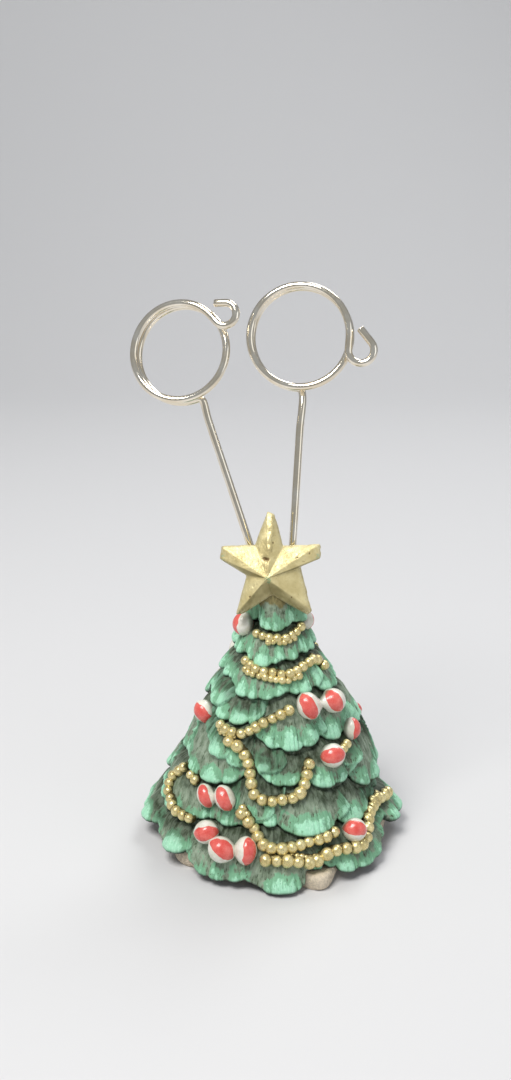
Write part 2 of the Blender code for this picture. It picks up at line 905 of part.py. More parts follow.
def coil_axes(wire):
    """The coil's centre and its axes: right, up and out towards the front."""
    lean = math.radians(WIRE_LEAN + wire["coil_lean"])
    yaw = math.radians(wire["coil_yaw"])
    up = Vector((0, math.sin(lean), math.cos(lean)))
    out = Vector((0, -math.cos(lean), math.sin(lean)))
    right = Vector((1, 0, 0))
    turned_right = math.cos(yaw) * right + math.sin(yaw) * out
    turned_out = math.cos(yaw) * out - math.sin(yaw) * right
    return wire_plane(*wire["coil_center"]), turned_right, up, turned_out


def wire_points(wire):
    """The wire's middle line: stem, bend, coil of almost two turns, hook and tail."""
    foot, stem_direction, stem_end = stem_line(wire)
    center, right, up, out = coil_axes(wire)
    radius = wire["coil_radius"]
    start = math.radians(wire["coil_start"])
    turn = math.radians(wire["coil_start"] - wire["coil_end"] + 720)
    rise = COIL_PITCH / (2 * math.pi)
    middle = turn / 2

    def on_coil(turned):
        angle = start - turned
        flat = math.cos(angle) * right + math.sin(angle) * up
        return center + radius * flat + (turned - middle) * rise * out

    def along_coil(turned):
        angle = start - turned
        flat = math.sin(angle) * right - math.cos(angle) * up
        return (radius * flat + rise * out).normalized()

    stem_pull, coil_pull = wire["bend_pull"]
    bend = hermite(
        stem_end,
        stem_direction * stem_pull,
        on_coil(0),
        along_coil(0) * coil_pull,
        BEND_POINTS,
    )
    steps = round(COIL_POINTS * turn / (2 * math.pi))
    coil = [on_coil(turn * i / steps) for i in range(steps + 1)]
    heading = math.radians(wire["coil_end"] - 90)
    lead = coil[-1] + wire["hook_lead"] * along_coil(turn)
    hook_radius = wire["hook_radius"]
    side = heading + math.pi / 2
    hook_center = lead + hook_radius * (math.cos(side) * right + math.sin(side) * up)
    hook = []
    for i in range(HOOK_POINTS + 1):
        angle = side + math.pi + math.radians(wire["hook_turn"]) * i / HOOK_POINTS
        flat = math.cos(angle) * right + math.sin(angle) * up
        hook.append(hook_center + hook_radius * flat)
    last = heading + math.radians(wire["hook_turn"])
    tail = hook[-1] + wire["tail"] * (math.cos(last) * right + math.sin(last) * up)
    return [foot, stem_end, *bend, *coil, *hook, tail]


def least_gap(points):
    """The least gap between two stretches of a wire that aren't neighbours on it."""
    least = math.inf
    for i, point in enumerate(points):
        for other in points[i + round(COIL_POINTS / 2) :]:
            least = min(least, (point - other).length - WIRE_DIAMETER)
    return least


def tube(name, points, radii, finish, place):
    """A tube along a line, six-sided, with a radius at each point and closed ends."""
    curve = bpy.data.curves.new(name, "CURVE")
    curve.dimensions = "3D"
    curve.bevel_depth = max(radii)
    curve.bevel_resolution = 1
    curve.use_fill_caps = True
    curve.twist_mode = "MINIMUM"
    spline = curve.splines.new("POLY")
    spline.points.add(len(points) - 1)
    for slot, point, radius in zip(spline.points, points, radii):
        slot.co = (*point, 1)
        slot.radius = radius / max(radii)
    spline.use_smooth = True
    curve.materials.append(finish)
    obj = bpy.data.objects.new(name, curve)
    place.objects.link(obj)
    return obj


def shape_of(obj):
    """A search tree of an object's final faces."""
    graph = bpy.context.evaluated_depsgraph_get()
    evaluated = obj.evaluated_get(graph)
    mesh = evaluated.to_mesh()
    points = [obj.matrix_world @ v.co for v in mesh.vertices]
    faces = [tuple(face.vertices) for face in mesh.polygons]
    tree = BVHTree.FromPolygons(points, faces)
    evaluated.to_mesh_clear()
    return tree


def distance(shapes, point):
    return min(tree.find_nearest(point)[3] for tree in shapes)


def seated_radius(shapes, azimuth, height, clear):
    """How far from the axis a ball comes to rest when it is pushed straight in."""
    radius = TRACE_START
    for _ in range(TRACE_STEPS):
        free = distance(shapes, polar(azimuth, radius, height)) - clear
        if free < TRACE_CLOSE:
            break
        radius = max(radius - free, TRACE_END)
    return radius


def smooth_through(points, steps):
    """Points of a Catmull-Rom curve through the given (azimuth, height) pairs."""
    ends = [2 * points[0] - points[1], *points, 2 * points[-1] - points[-2]]
    curve = []
    for p0, p1, p2, p3 in zip(ends, ends[1:], ends[2:], ends[3:]):
        for i in range(steps):
            t = i / steps
            a = 2 * p1 + (p2 - p0) * t
            b = (2 * p0 - 5 * p1 + 4 * p2 - p3) * t**2
            c = (3 * p1 - p0 - 3 * p2 + p3) * t**3
            curve.append((a + b + c) / 2)
    return [*curve, points[-1]]


def strand_line(shapes, diameter, hung):
    """The strand's middle line, laid on what is under it and pulled taut over dips."""
    clear = diameter / 2 + SEAT_GAP
    route = smooth_through([Vector(point) for point in hung], STRAND_STEPS)
    radii = [seated_radius(shapes, a, h, clear) for a, h in route]
    line = [polar(a, r, h) for (a, h), r in zip(route, radii)]
    for order in (range(1, len(line)), range(len(line) - 2, -1, -1)):
        step = -1 if order[0] == 1 else 1
        for i in order:
            apart = (line[i] - line[i + step]).length
            radii[i] = max(radii[i], radii[i + step] - STRAND_SLOPE * apart)
    return [polar(a, r, h) for (a, h), r in zip(route, radii)]


def evenly(line, spacing):
    """Points along a line at about the given spacing, from its start to its end."""
    lengths = [0.0]
    for a, b in zip(line, line[1:]):
        lengths.append(lengths[-1] + (b - a).length)
    count = max(round(lengths[-1] / spacing), 1)
    points = []
    at = 0
    for i in range(count + 1):
        target = lengths[-1] * i / count
        while at < len(line) - 2 and lengths[at + 1] < target:
            at += 1
        span = lengths[at + 1] - lengths[at]
        points.append(line[at].lerp(line[at + 1], (target - lengths[at]) / span))
    return points


def garland(name, diameter, hung, shapes, finish, place):
    """A string of beads: one tube, narrow between the beads and full along each one."""
    line = strand_line(shapes, diameter, hung)
    necks = evenly(line, diameter * BEAD_SPACING)
    points = [necks[0]]
    radii = [diameter / 2 * NECK_SHARE]
    for neck, following in zip(necks, necks[1:]):
        for share, width in BEAD_PROFILE:
            points.append(neck.lerp(following, share))
            radii.append(diameter / 2 * width)
    return tube(name, points, radii, finish, place)


def too_close(shapes, center, point):
    """Whether a point of a ball lies inside a shape or nearer to it than the seat gap."""
    if distance(shapes, center + point) < SEAT_GAP:
        return True
    reach = point.length
    return any(tree.ray_cast(center, point, reach)[0] is not None for tree in shapes)


def press(bm, center, shapes):
    """Pulls a ball's corners in until its corners, edges and faces clear the shapes."""
    near = [tree for tree in shapes if tree.find_nearest(center, PRESS_REACH)[0]]
    for _ in range(PRESS_STEPS):
        crowded = set()
        corners = [[v] for v in bm.verts]
        edges = [e.verts for e in bm.edges]
        faces = [f.verts for f in bm.faces]
        for group in (*corners, *edges, *faces):
            middle = sum((v.co for v in group), Vector()) / len(group)
            if too_close(near, center, middle):
                crowded.update(group)
        if not crowded:
            return
        for corner in crowded:
            corner.co -= corner.co.normalized() * PRESS_STEP


def candy(name, azimuth, height, radius, shapes, finish, place):
    """A ball pressed on to the branches: flat where they are, round elsewhere."""
    bm = bmesh.new()
    bmesh.ops.create_icosphere(bm, subdivisions=CANDY_SUBDIVISIONS, radius=radius)
    sunk = radius * (1 - CANDY_SINK) + SEAT_GAP
    center = polar(azimuth, seated_radius(shapes, azimuth, height, sunk), height)
    press(bm, center, shapes)
    obj = mesh_object(bm, name, finish, place)
    obj.location = center
    bpy.context.view_layer.update()
    return obj


def main():
    clear_scene()
    parts = collection(COLLECTION)
    cutters = collection("cutters")
    green = material("painted_green", (0.035, 0.16, 0.10), 0.55)
    cream = material("bare_resin", (0.62, 0.50, 0.40), 0.8)
    gold = material("painted_gold", (0.52, 0.40, 0.16), 0.4, 0.6)
    bead_gold = material("bead_gold", (0.45, 0.32, 0.10), 0.4, 0.6)
    red = material("candy_red", (0.60, 0.04, 0.04), 0.3)
    chrome = material("polished_steel", (0.72, 0.72, 0.72), 0.12, 1.0)

    mesh_object(loft(plinth_rings()), "plinth", cream, parts)
    tiers = []
    for tier in range(len(TIERS)):
        name = f"branch_tier_{tier + 1}"
        tiers.append(mesh_object(loft(tier_rings(tier)), name, green, parts))

    bm = star_body()
    star = mesh_object(bm, "star", gold, parts)
    star.matrix_world = star_frame()
    bevel = star.modifiers.new("rounding", "BEVEL")
    bevel.width = STAR_ROUNDING
    bevel.segments = 1
    cut(tiers[0], star_cutter(cutters))

    wires = []
    for name, wire in WIRES.items():
        cut(tiers[0], socket_cutter(name, wire, cutters))
        points = wire_points(wire)
        print(f"{name}: least gap to itself {least_gap(points) / MM:.2f} mm")
        radii = [WIRE_DIAMETER / 2] * len(points)
        wires.append(tube(name, points, radii, chrome, parts))

    bpy.context.view_layer.update()
    shapes = [shape_of(obj) for obj in (*tiers, star, *wires)]
    for number, (azimuth, height, radius) in enumerate(CANDIES, 1):
        name = f"peppermint_{number:02d}"
        made = candy(name, azimuth, height, radius, shapes, red, parts)
        shapes.append(shape_of(made))
    for name, diameter, hung in GARLANDS:
        made = garland(name, diameter, hung, shapes, bead_gold, parts)
        shapes.append(shape_of(made))


main()
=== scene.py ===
"""Looks of the tree-shaped card holder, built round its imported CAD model.

Shapes are worked out in millimetres and become metres when their mesh is made. An
azimuth is in degrees round the tree, 0 at the front (-Y) and positive towards +X.
"""

from functools import partialmethod
from math import pi, radians, sin
from types import SimpleNamespace

import bmesh
import bpy
import numpy as np
from mathutils import Matrix, Vector
from mathutils.bvhtree import BVHTree

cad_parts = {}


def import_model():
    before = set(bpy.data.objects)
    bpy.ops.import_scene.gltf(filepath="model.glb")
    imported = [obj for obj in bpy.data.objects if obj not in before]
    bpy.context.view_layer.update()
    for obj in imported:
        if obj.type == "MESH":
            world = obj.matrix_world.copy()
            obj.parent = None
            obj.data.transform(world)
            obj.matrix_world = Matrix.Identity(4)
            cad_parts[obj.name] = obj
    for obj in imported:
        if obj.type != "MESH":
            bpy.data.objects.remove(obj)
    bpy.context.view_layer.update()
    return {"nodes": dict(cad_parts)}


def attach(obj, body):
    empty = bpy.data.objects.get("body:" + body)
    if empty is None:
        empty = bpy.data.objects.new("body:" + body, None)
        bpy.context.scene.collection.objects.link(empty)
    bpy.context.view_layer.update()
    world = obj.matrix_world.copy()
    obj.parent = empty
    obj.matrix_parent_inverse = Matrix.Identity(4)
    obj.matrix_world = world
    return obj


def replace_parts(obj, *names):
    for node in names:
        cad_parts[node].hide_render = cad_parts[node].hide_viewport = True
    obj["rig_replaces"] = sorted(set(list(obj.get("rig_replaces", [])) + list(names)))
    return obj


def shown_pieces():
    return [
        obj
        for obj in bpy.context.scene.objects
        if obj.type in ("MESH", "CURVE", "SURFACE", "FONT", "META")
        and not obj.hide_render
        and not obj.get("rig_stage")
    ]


MM = 0.001
ACROSS, BACK, UP = np.identity(3)
BODY = "root"

# Camera, at the photograph's viewing angle
CAMERA_PLACE = (0.0, -0.3262, 0.1891)
CAMERA_DOWN = 0.31871
CAMERA_LEFT = 0.01398
CAMERA_LENS = 45
CAMERA_SENSOR = 36

# Studio, in metres
FLOOR_FRONT = -1.6
FLOOR_BACK = 0.55
FLOOR_HALF = 2.0
FLOOR_SWEEP = 0.35
FLOOR_TOP = 1.6
LIGHT_TARGET = (0, 0, 0.06)
WORLD_STRENGTH = 0.28
WORLD_GLOSSY = 0.4
WORLD_SHOWN = 0.45

# The cone that the lips of the fronds lie on, and the lips' shape
CONE_RADIUS = 36.6
CONE_TAPER = 0.465
LIP_THICKNESS = 1.9
LIP_ROUNDING = 0.6
LIP_RECESS = 0.6
LOWEST_LIP = 0.9
LOWEST_ROLL = 0.35
FROND_SWELL = 0.9
FROND_CURL = 0.27
FROND_SIDE = 1.0
REACH_BLEND = 1.2
CAP_TOP = (6.8, 74.5)
CROWN_POWER = 2.13
# Hidden top of a tier: its share of the radius and how far it rises, and the cap's own
HIDDEN_TOP = (0.85, 1.2)
CAP_FLAT = (0.86, 0.0)
# Hidden inside of a tier, behind its rolled lip
INNER_INSET = 1.4
INNER_RISE = 1.5
INNER_SHARE = 0.25

# Fronds of each tier: azimuth, half width, lip height, reach beyond the cone, and how
# far the frond lies over its neighbours
TIERS = (
    ((3, 38, 59.8, 0.4, 0), (66, 32, 60.8, 1.3, 0.2), (126, 32, 61, 0.3, -0.2),
     (182, 30, 60.4, 0.3, 0.1), (-122, 32, 60.8, 0.3, -0.1), (-63, 32, 61.2, -0.4, 0.2)),
    ((-14, 26, 52, 0.2, 0), (25, 22, 53, 0.2, 0.2), (65, 26, 53.4, -0.4, -0.1), (110, 28, 53.2, 0, 0.1),
     (157, 28, 52.8, 0, -0.1), (-155, 28, 53, 0, 0.2), (-107, 28, 53.2, -0.8, 0),
     (-59, 26, 53.2, -0.9, 0.1)),
    ((-17, 35, 44.4, 0.3, 0.1), (31, 24, 45.2, 0.2, 0.5), (74, 26, 43.6, 1, 0),
     (120, 28, 44.4, 0.3, 0.2), (166, 28, 45, 0.3, 0), (-148, 28, 45, 0, 0.2), (-104, 26, 46, -1.1, 0),
     (-68, 24, 46.8, -0.9, -0.2)),
    ((-37, 26, 37.9, 0, 0.3), (15, 28, 32.9, 0.2, 0.2), (60, 26, 32.7, 0.4, 0), (102, 26, 31.6, 2, -0.1),
     (148, 28, 33.4, 0.5, 0.2), (-166, 28, 35, 0.2, 0), (-122, 26, 36.8, 0, 0.2),
     (-86, 25, 41.8, -1, -0.2), (-60, 14, 40.6, -0.2, 0.9)),
    ((-45, 30, 23.3, -0.3, 0.2), (-4, 11, 28.2, 0.2, 0.6), (8, 14, 24.9, 0.1, 0.1),
     (40, 20, 23.1, 0.2, 0.3), (77, 21, 18.2, 0.4, 0), (98, 15, 18.8, 0.8, 0.3),
     (128, 28, 20.8, 0.3, 0.2), (176, 28, 22.4, 0.2, 0), (-135, 28, 23, 0, 0.2),
     (-90, 24, 24.6, -1.2, -0.1), (58, 10, 25.6, 0.4, 0.5), (-36, 7, 30.2, 0, 1), (-23, 6, 28.8, 0, 0.8)),
    ((-62, 32, 12.4, -0.3, 0.2), (-24, 20, 14.8, -0.4, 0), (-3, 14, 15.8, -0.3, 0.2),
     (22, 22, 13.6, 0.1, 0.4), (50, 15, 12.5, -1.2, 0.1), (70, 12, 13.2, -2.3, 0.2),
     (94, 20, 12.6, -2.7, -0.1), (124, 19, 12.8, -1.5, 0.1), (150, 20, 12.8, -0.2, 0.2),
     (-176, 28, 13.4, 0.2, 0), (-126, 30, 12.6, 0.2, 0.2), (-9, 9, 17.4, 0, 0.6)),
    ((4, 17, 1.4, 0, 0.3), (-24, 18, 2.6, 0, 0.1), (43, 20, 3, 0, 0.2), (90, 20, 5.2, 0.3, 0.4),
     (126, 24, 3.6, 0, 0), (166, 24, 2.8, 0, 0.2), (-152, 24, 3.2, 0, 0), (-112, 24, 4.2, 0, 0.2),
     (-84, 18, 5.2, 0.3, 0.4), (-54, 13, 4.6, -0.2, 0.2)),
)

# Lobes along the lips of each tier: azimuth, half width, and how far the lobe swells.
# Round the back, which the photograph doesn't show, lobes follow at an even spacing.
LOBES = (
    ((-50, 12, 0.3), (-20, 16, 0.4), (8, 16, 0.5), (38, 15, 0.4), (68, 14, 0.4)),
    ((-72, 9, 0.5), (-57, 8, 0.7), (-38, 8, 0.5), (-14, 12, 1), (8, 9, 0.7), (28, 10, 0.4),
     (52, 11, 0.7), (72, 10, 0.8)),
    ((-82, 8, 0.6), (-68, 8, 0.7), (-54, 7, 0.6), (-33, 8, 0.9), (-20, 7, 0.6), (-5, 8, 0.6),
     (9, 8, 0.7), (22, 6, 0.5), (33, 9, 0.8), (57, 13, 0.8), (76, 8, 0.6), (93, 8, 0.8)),
    ((-76, 6, 0.8), (-65, 6, 0.7), (-47, 9, 0.8), (-29, 9, 0.9), (-14, 7, 0.5), (-2, 6, 0.6), (14, 8, 1),
     (31, 9, 0.8), (48, 9, 1), (71, 9, 0.9), (86, 7, 0.9), (100, 8, 0.9)),
    ((-86, 7, 0.8), (-73, 7, 0.9), (-57, 9, 0.8), (-40, 9, 1.1), (-26, 7, 0.7), (-6, 7, 0.6),
     (3, 5, 0.5), (12, 7, 0.6), (31, 9, 1), (45, 7, 0.6), (62, 8, 0.7), (80, 9, 1), (97, 8, 0.9)),
    ((-88, 6, 0.8), (-77, 6, 0.8), (-66, 6, 0.7), (-55, 6, 0.8), (-46, 5, 0.6), (-36, 5, 0.6),
     (-24, 6, 0.6), (-11, 5, 0.6), (-1, 4, 0.8), (7, 4, 0.5), (20, 14, 1.3), (46, 10, 1), (60, 6, 0.7),
     (72, 6, 0.8), (86, 7, 0.9), (99, 6, 0.8)),
    ((-92, 6, 1), (-81, 7, 1.2), (-67, 6, 0.6), (-50, 8, 1.4), (-40, 4, 0.5), (-32, 5, 0.6),
     (-24, 5, 0.6), (-14, 6, 0.6), (4, 9, 1.3), (24, 6, 0.5), (34, 6, 0.7), (45, 6, 0.7), (54, 5, 0.6),
     (65, 5, 0.6), (79, 6, 0.9), (93, 7, 1.2)),
)
LOBE_LEVEL = 0.65
LOBE_NOTCH = 0.8
LOBE_RISE = 1.2
LOBE_PITCH = 4.8
LOBE_HALF = 0.65
LOBE_SWELL = 0.8
LOBE_STRAY = 0.15
LOBE_VARIETY = 0.3
LOBE_TURN = 2.4
LOBE_TOP = 1.0
LOBE_REACH = 4.6

# Relief of a frond: width of a column of the mesh, rows on its face and round its lip
COLUMN_WIDTH = 0.21
FACE_ROWS = 40
LIP_ROWS = 7
LIP_TURN = 165
FACE_SLANT = 1.1
PAD_EDGE = 1.4
PAD_EDGE_RUN = 1.0
PAD_CROWN = 0.3
PAD_LEVEL = 0.15
LIP_FLARE = 0.35
LIP_FLARE_REACH = 2.2
UPPER_HOLLOW = 0.4
ROUGH_HEIGHT = 0.18
FINE_HEIGHT = 0.07
# How far from the lip above the painted shade on a face starts to fade and ends, for each tier
SHADE_UNDER_LIP = ((2, 4), (1.8, 4.6), (2.2, 5.6), (2.4, 6), (3.6, 8.4), (3.2, 7.4), (3.4, 7.6))
# How much more or less mint each tier has
MINT = (0.35, 0.1, 0.05, 0.22, -0.03, -0.05, -0.15)
# How far the lips are drawn in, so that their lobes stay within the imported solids
LIP_INSET = 0.3
FAN_LENGTH = 13.0
FAN_SHARE = 0.5
# Grooves down a frond. Their waves, and those of the folds, each have a size, a rate
# along the lip and a seed for the phase.
COMB_PITCH = 0.72
COMB_DEPTH = 0.2
COMB_SWING = ((0.4, 0.9, 3), (0.25, 2.1, 4))
COMB_STRENGTH = ((0.5, 1.9, 5),)
# Folds that run down to the lip: their pitch and depth, how far up they reach, and how
# much more mint their tops have
FOLD_PITCH = 2.5
FOLD_DEPTH = 0.6
FOLD_REACH = 5.5
FOLD_SWING = ((0.55, 0.5, 6), (0.3, 1.1, 7))
FOLD_MINT = 0.55
# Gold paint that has run down the cap from the star: its lower edge, and how far round
GILT_EDGE = 66.7
GILT_ROUND = 58

# Bare foot, and its profile as insets from its edge with their heights
PLINTH_HEIGHT = 4.6
PLINTH_RADIUS = 29.6
PLINTH_BUMPS = ((21, 16, 6.2), (-48, 15, 2.6), (98, 30, 1.6), (168, 26, 1.2), (-118, 25, 1.5))
SEAT_GAP = 0.3
FOOT_INSET = 0.15
FOOT_COLUMNS = 420
# Lumps, here and further on: their size, the pitch of their features and a seed
FOOT_LUMPS = ((0.22, 3.1, 5), (0.1, 0.9, 6))
FOOT_LUMP_LIMIT = 0.12
FOOT_PROFILE = (
    (12, 0), (5, 0), (1.1, 0), (0.75, 0.15), (0.45, 0.5), (0.2, 1), (0.05, 1.7), (0, 2.4), (0, 3.1),
    (0.1, 3.7), (0.3, 4.1), (0.7, 4.35), (1.6, 4.4), (6, 4.4),
)

# Star, across and up its tilted face from the point where its ridges meet
STAR_PLACE = (-1.6, -9.5, 74.5)
STAR_TILT = 20
STAR_RIDGE = 3.2
STAR_RIM = 2.6
STAR_ROUND = 0.25
# The two ends of each blunt tip, and the inner corner after it, clockwise from the top
STAR_TIPS = (
    ((0, 16.8), (1.8, 16.6)), ((13.5, 8.8), (13.6, 5.2)), ((11.4, -8.1), (10.3, -9.1)),
    ((-5.9, -8.9), (-7.6, -8.9)), ((-11.9, 4.9), (-11.4, 8)),
)
STAR_CORNERS = ((4, 8.3), (8.4, 3), (1.3, -4.2), (-5.2, 0.8), (-3, 8.5))
STAR_STEP = 0.45
FACE_RINGS = 30
# Rings of the rim, as shares of its depth with their insets, and of the flat back
RIM_RINGS = ((0.15, 0), (0.4, 0), (0.7, 0), (0.93, 0.005), (1, 0.03))
BACK_RINGS = (0.85, 0.6, 0.3, 0.05)
# Lumps of paint up the upper ridge: share of the way to its tip, size and height
STAR_LUMPS = (
    (0.97, 0.8, 0.28), (0.87, 0.65, 0.42), (0.78, 0.8, 0.44), (0.68, 0.7, 0.42), (0.58, 0.75, 0.4),
    (0.48, 0.75, 0.38), (0.4, 0.6, 0.3),
)
# Holes where the paint is gone down to brown resin: across, up, size and depth
STAR_HOLES = (
    (-0.55, 4.9, 0.62, 0.4), (0.15, 4.8, 0.62, 0.45), (7.6, 5.2, 0.35, 0.2), (9.2, 4.3, 0.28, 0.2),
    (10.6, 6.4, 0.3, 0.2), (6.1, -4.6, 0.3, 0.2), (-4.2, -4.6, 0.3, 0.2), (1.5, 9, 0.3, 0.2),
)
STAR_PITS = 40
STAR_ROUGHNESS = ((0.13, 2.6, 21), (0.06, 0.8, 22))
# Green paint smeared on the gold: across, up and size
STAR_SMEARS = ((0.35, -0.35, 1), (-11.9, 5.2, 1.5), (12.9, 5.6, 0.8), (-9.4, 3, 0.6))

# Wires: places across and up their leaning plane, angles in degrees. The turns are where
# the coil starts and ends, and how far the hook goes round.
WIRE_RADIUS = 0.985
# The wire is a little thinner at the top of the rings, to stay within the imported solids
WIRE_THINNER = 0.045
WIRE_THIN_FROM = (138, 143)
# Rings of a wire's rounded end: share of the radius, and distance from the end
WIRE_END = ((0.5, 0), (0.85, 0.04), (0.97, 0.14))
END_LENGTH = 0.3
WIRE_SIDES = 24
WIRE_LEAN = 15
SOCKET_PLACE = (0.0, 1.5, 74.0)
SOCKET_DEPTH = 9.4
COIL_PITCH = 3.2
# How far below the end of the stem its bend begins, and how hard the bend is pulled
# along the stem and along the coil
BEND_EARLY = 4.0
BEND_PULLS = (11, 6)
# Steps of the wire's line down its stem, round its bend, its coil and its hook
STEM_STEPS, BEND_STEPS, COIL_STEPS, HOOK_STEPS = 12, 16, 150, 40
WIRES = {
    "clip_wire_left": SimpleNamespace(
        mouth=(-4.2, 0.0), stem_end=(-17.9, 40.6), coil_center=(-23.9, 54.4), coil_radius=12.3,
        coil_lean=8, coil_yaw=17, hook_lead=2.4, hook_radius=2.9, tail=3.0, turns=(-72, 42, 225),
    ),
    "clip_wire_right": SimpleNamespace(
        mouth=(4.65, 0.0), stem_end=(6.8, 38.6), coil_center=(6.6, 58.5), coil_radius=12.8,
        coil_lean=3, coil_yaw=8, hook_lead=3.0, hook_radius=3.2, tail=4.6, turns=(-93, -4, 222),
    ),
}

# Seating of balls and beads: where they start from, the least radius and how near is near
SEAT_FROM = 60
SEAT_LEAST = 2
SEAT_NEAR = 0.02
SEAT_TRIES = 60

# Peppermints: azimuth, height, radius, lean of the red patch's long axis (clockwise),
# how far the patch is turned sideways from facing out, and how much the ball is
# stretched along that axis and across it
CANDIES = (
    (-64, 60.1, 2.7, 8, -70, 1.12, 1),
    (88, 59.7, 2.2, 10, -72, 1.1, 1),
    (-66, 37.2, 2.8, -40, -25, 1.15, 1),
    (29.5, 42.8, 3.1, -28, 2, 1.14, 0.96),
    (54.5, 42, 3.1, -36, 5, 1.04, 1),
    (66, 33.2, 2.4, 0, 48, 1.2, 0.9),
    (38.4, 30.6, 3.1, 80, -8, 1.04, 0.98),
    (-37.6, 20.3, 2.7, -22, -8, 1.16, 0.86),
    (-25.4, 21.5, 2.9, -24, -8, 1.16, 0.9),
    (-31.4, 13, 3.2, 84, 0, 1, 0.94),
    (-22, 10.5, 3.3, -54, 20, 1.05, 1),
    (-11.6, 10.7, 3.1, 4, 24, 1.14, 0.9),
    (41.6, 11.9, 3.1, 96, -22, 1, 0.98),
    (160, 56.4, 2.5, 30, 10, 1.08, 0.96),
    (146, 41.6, 3, 70, -10, 1.04, 0.98),
    (-148, 45.2, 2.9, -20, 12, 1.12, 0.94),
    (-172, 28.8, 3.1, 40, 0, 1.06, 0.98),
    (126, 26, 3, -50, 8, 1.1, 0.92),
    (136, 10.2, 3.2, 15, -12, 1.05, 0.96),
    (-138, 20.6, 3.1, 80, 6, 1.08, 0.94),
)
# Neighbours that are cast and painted together
CANDY_PAIRS = ((3, 4), (7, 8), (9, 10), (10, 11))
CANDY_SINK = 0.45
# Balls that the fronds partly hide, by their row above: how much deeper they lie
CANDY_DEEPER = {1: 0.6, 2: 1.0, 5: 0.6}
# Half width and half length of a red patch, in degrees
PATCH_HALF = 39
PATCH_TALL = 78
PATCH_RAGGEDNESS = ((0.09, 0.4, 31), (0.05, 0.16, 33))
CANDY_LUMPS = ((0.03, 0.7, 32), (0.012, 0.3, 34))
# How wide the neck to a neighbour is on the ball, as an angle
NECK_ANGLE = 0.42

# Garlands: bead diameter, and the points (azimuth, height) that they hang through
GARLANDS = {
    "crown": (2.1, ((-36, 59.1), (-27, 58.7), (-13, 58.6), (5, 58.2), (23, 58.4), (41, 59), (53, 59.4),
        (61, 60.2))),
    "crown_back": (2.1, ((112, 58.2), (126, 57.6), (142, 57))),
    "upper": (2.3, ((-43, 52.1), (-33, 51.6), (-22, 51.1), (-10, 50.8), (3, 50.4), (16, 50.2), (31, 51),
        (47, 51.6), (59, 51.8), (64, 50.4), (67, 48.7))),
    "upper_back": (2.3, ((130, 47.4), (142, 48.2), (156, 49.4), (180, 51.2), (212, 51), (232, 51.4))),
    "middle": (2.5, ((-43.5, 37.7), (-38, 36.7), (-31, 36.3), (-24, 36.2), (-18.5, 36.6), (-13, 38),
        (-6.5, 39.4), (2.5, 40.7), (11, 41.9), (17, 42.5))),
    "middle_back": (2.5, ((128, 37.4), (140, 36.8), (156, 35.6), (185, 36.4), (216, 38.4), (230, 39))),
    "drape": (2.8, ((-33, 34.5), (-28, 34.2), (-22.3, 33.4), (-17.2, 31.3), (-14, 28.7), (-12.8, 25.7),
        (-9.5, 23), (-3.8, 21.9), (2.7, 21.9), (8.8, 22.1), (15.2, 23), (19.8, 25.4), (22, 27.9),
        (25.5, 30.3))),
    "drape_end": (2.4, ((49, 30.1), (53.5, 30.4), (58, 31))),
    "swag_start": (2.3, ((-57, 22.9), (-52.5, 22.3), (-47.5, 21.8))),
    "swag": (2.7, ((-17.5, 19.2), (-12.8, 17.8), (-9.2, 15.4), (-6.2, 13.1), (-2.8, 11.7), (2, 11.4),
        (7.6, 11.6), (12.4, 11.6), (16.6, 11.6), (21, 12.2), (25.5, 12.8), (32.5, 13))),
    "loop": (2.5, ((-60.5, 23.8), (-65, 22.2), (-68.5, 20.2), (-69.6, 17.9), (-65.5, 16.2), (-58.5, 15),
        (-53, 14.2), (-48, 14), (-41.5, 13.6))),
    "hem": (2.9, ((-5, 9), (0, 9), (5.2, 9), (10.9, 8.4), (15, 7.7), (18.6, 7.3), (22.5, 8), (27.5, 8.9),
        (33, 8.9), (38.5, 8.2), (45, 8.3), (50, 9.6), (53.5, 11), (60, 12), (70, 12.2), (80, 11.6),
        (88, 10.8))),
    "hem_rear": (2.6, ((151, 10.4), (168, 12), (184, 12.6), (206, 11.4), (234, 9.8))),
}
GARLAND_STEPS = 10
GARLAND_SEED = 100
BEAD_SPACING = 0.98
BEAD_SINK = 0.3
BEAD_FULLNESS = (1.02, 1.24)
BEAD_STRETCH = (0.92, 1.06)
BEAD_STRAY = 0.16
# How steeply a strand may leave the fronds, and the weights that ease its corners
STRAND_SLOPE = 0.8
STRAND_EASE = (0.1, 0.2, 0.4, 0.2, 0.1)
# The web of gold that the beads are cast on: its radius and how far it is sunk in, as
# shares of the bead's diameter
WEB_RADIUS = 0.36
WEB_VARIETY = (0.85, 1.2)
WEB_END = 0.4
WEB_SINK = 0.22
WEB_WIDTH = 1.25
WEB_STEP = 0.5
WEB_SIDES = 12
# How much painted shade the web gets, down in the crevice under the beads
WEB_CREVICE = 0.7
# Second rows of smaller beads beside a strand: the stretch that they follow, as shares
# of its length, how much higher they lie, and their size as a share of its beads'
SECOND_ROWS = {
    "crown": ((0.3, 0.7, -0.9, 0.75),),
    "upper": ((0.06, 0.62, -1.3, 0.8),),
    "middle": ((0, 0.3, -1, 0.6),),
    "swag": ((0.02, 0.2, 1.2, 0.7),),
    "hem": ((0.84, 0.92, 1.2, 0.8), (0.15, 0.35, 1, 0.5)),
}
SECOND_SPACING = 0.9
SECOND_FULLNESS = (0.85, 1.25)


def ramp(start, end, x):
    """0 up to the start, 1 from the end on, and smooth between, rising or falling."""
    t = np.clip((x - start) / (end - start), 0, 1)
    return t * t * (3 - 2 * t)


def bell(x, steepness=1):
    """1 where x is 0, and less and less on both sides."""
    return np.exp(-steepness * x**2)


def unit(vectors):
    return vectors / np.linalg.norm(vectors, axis=-1, keepdims=True)


def swung(angle, first, second):
    """The direction at an angle from a first direction towards a second."""
    return np.cos(angle) * first + np.sin(angle) * second


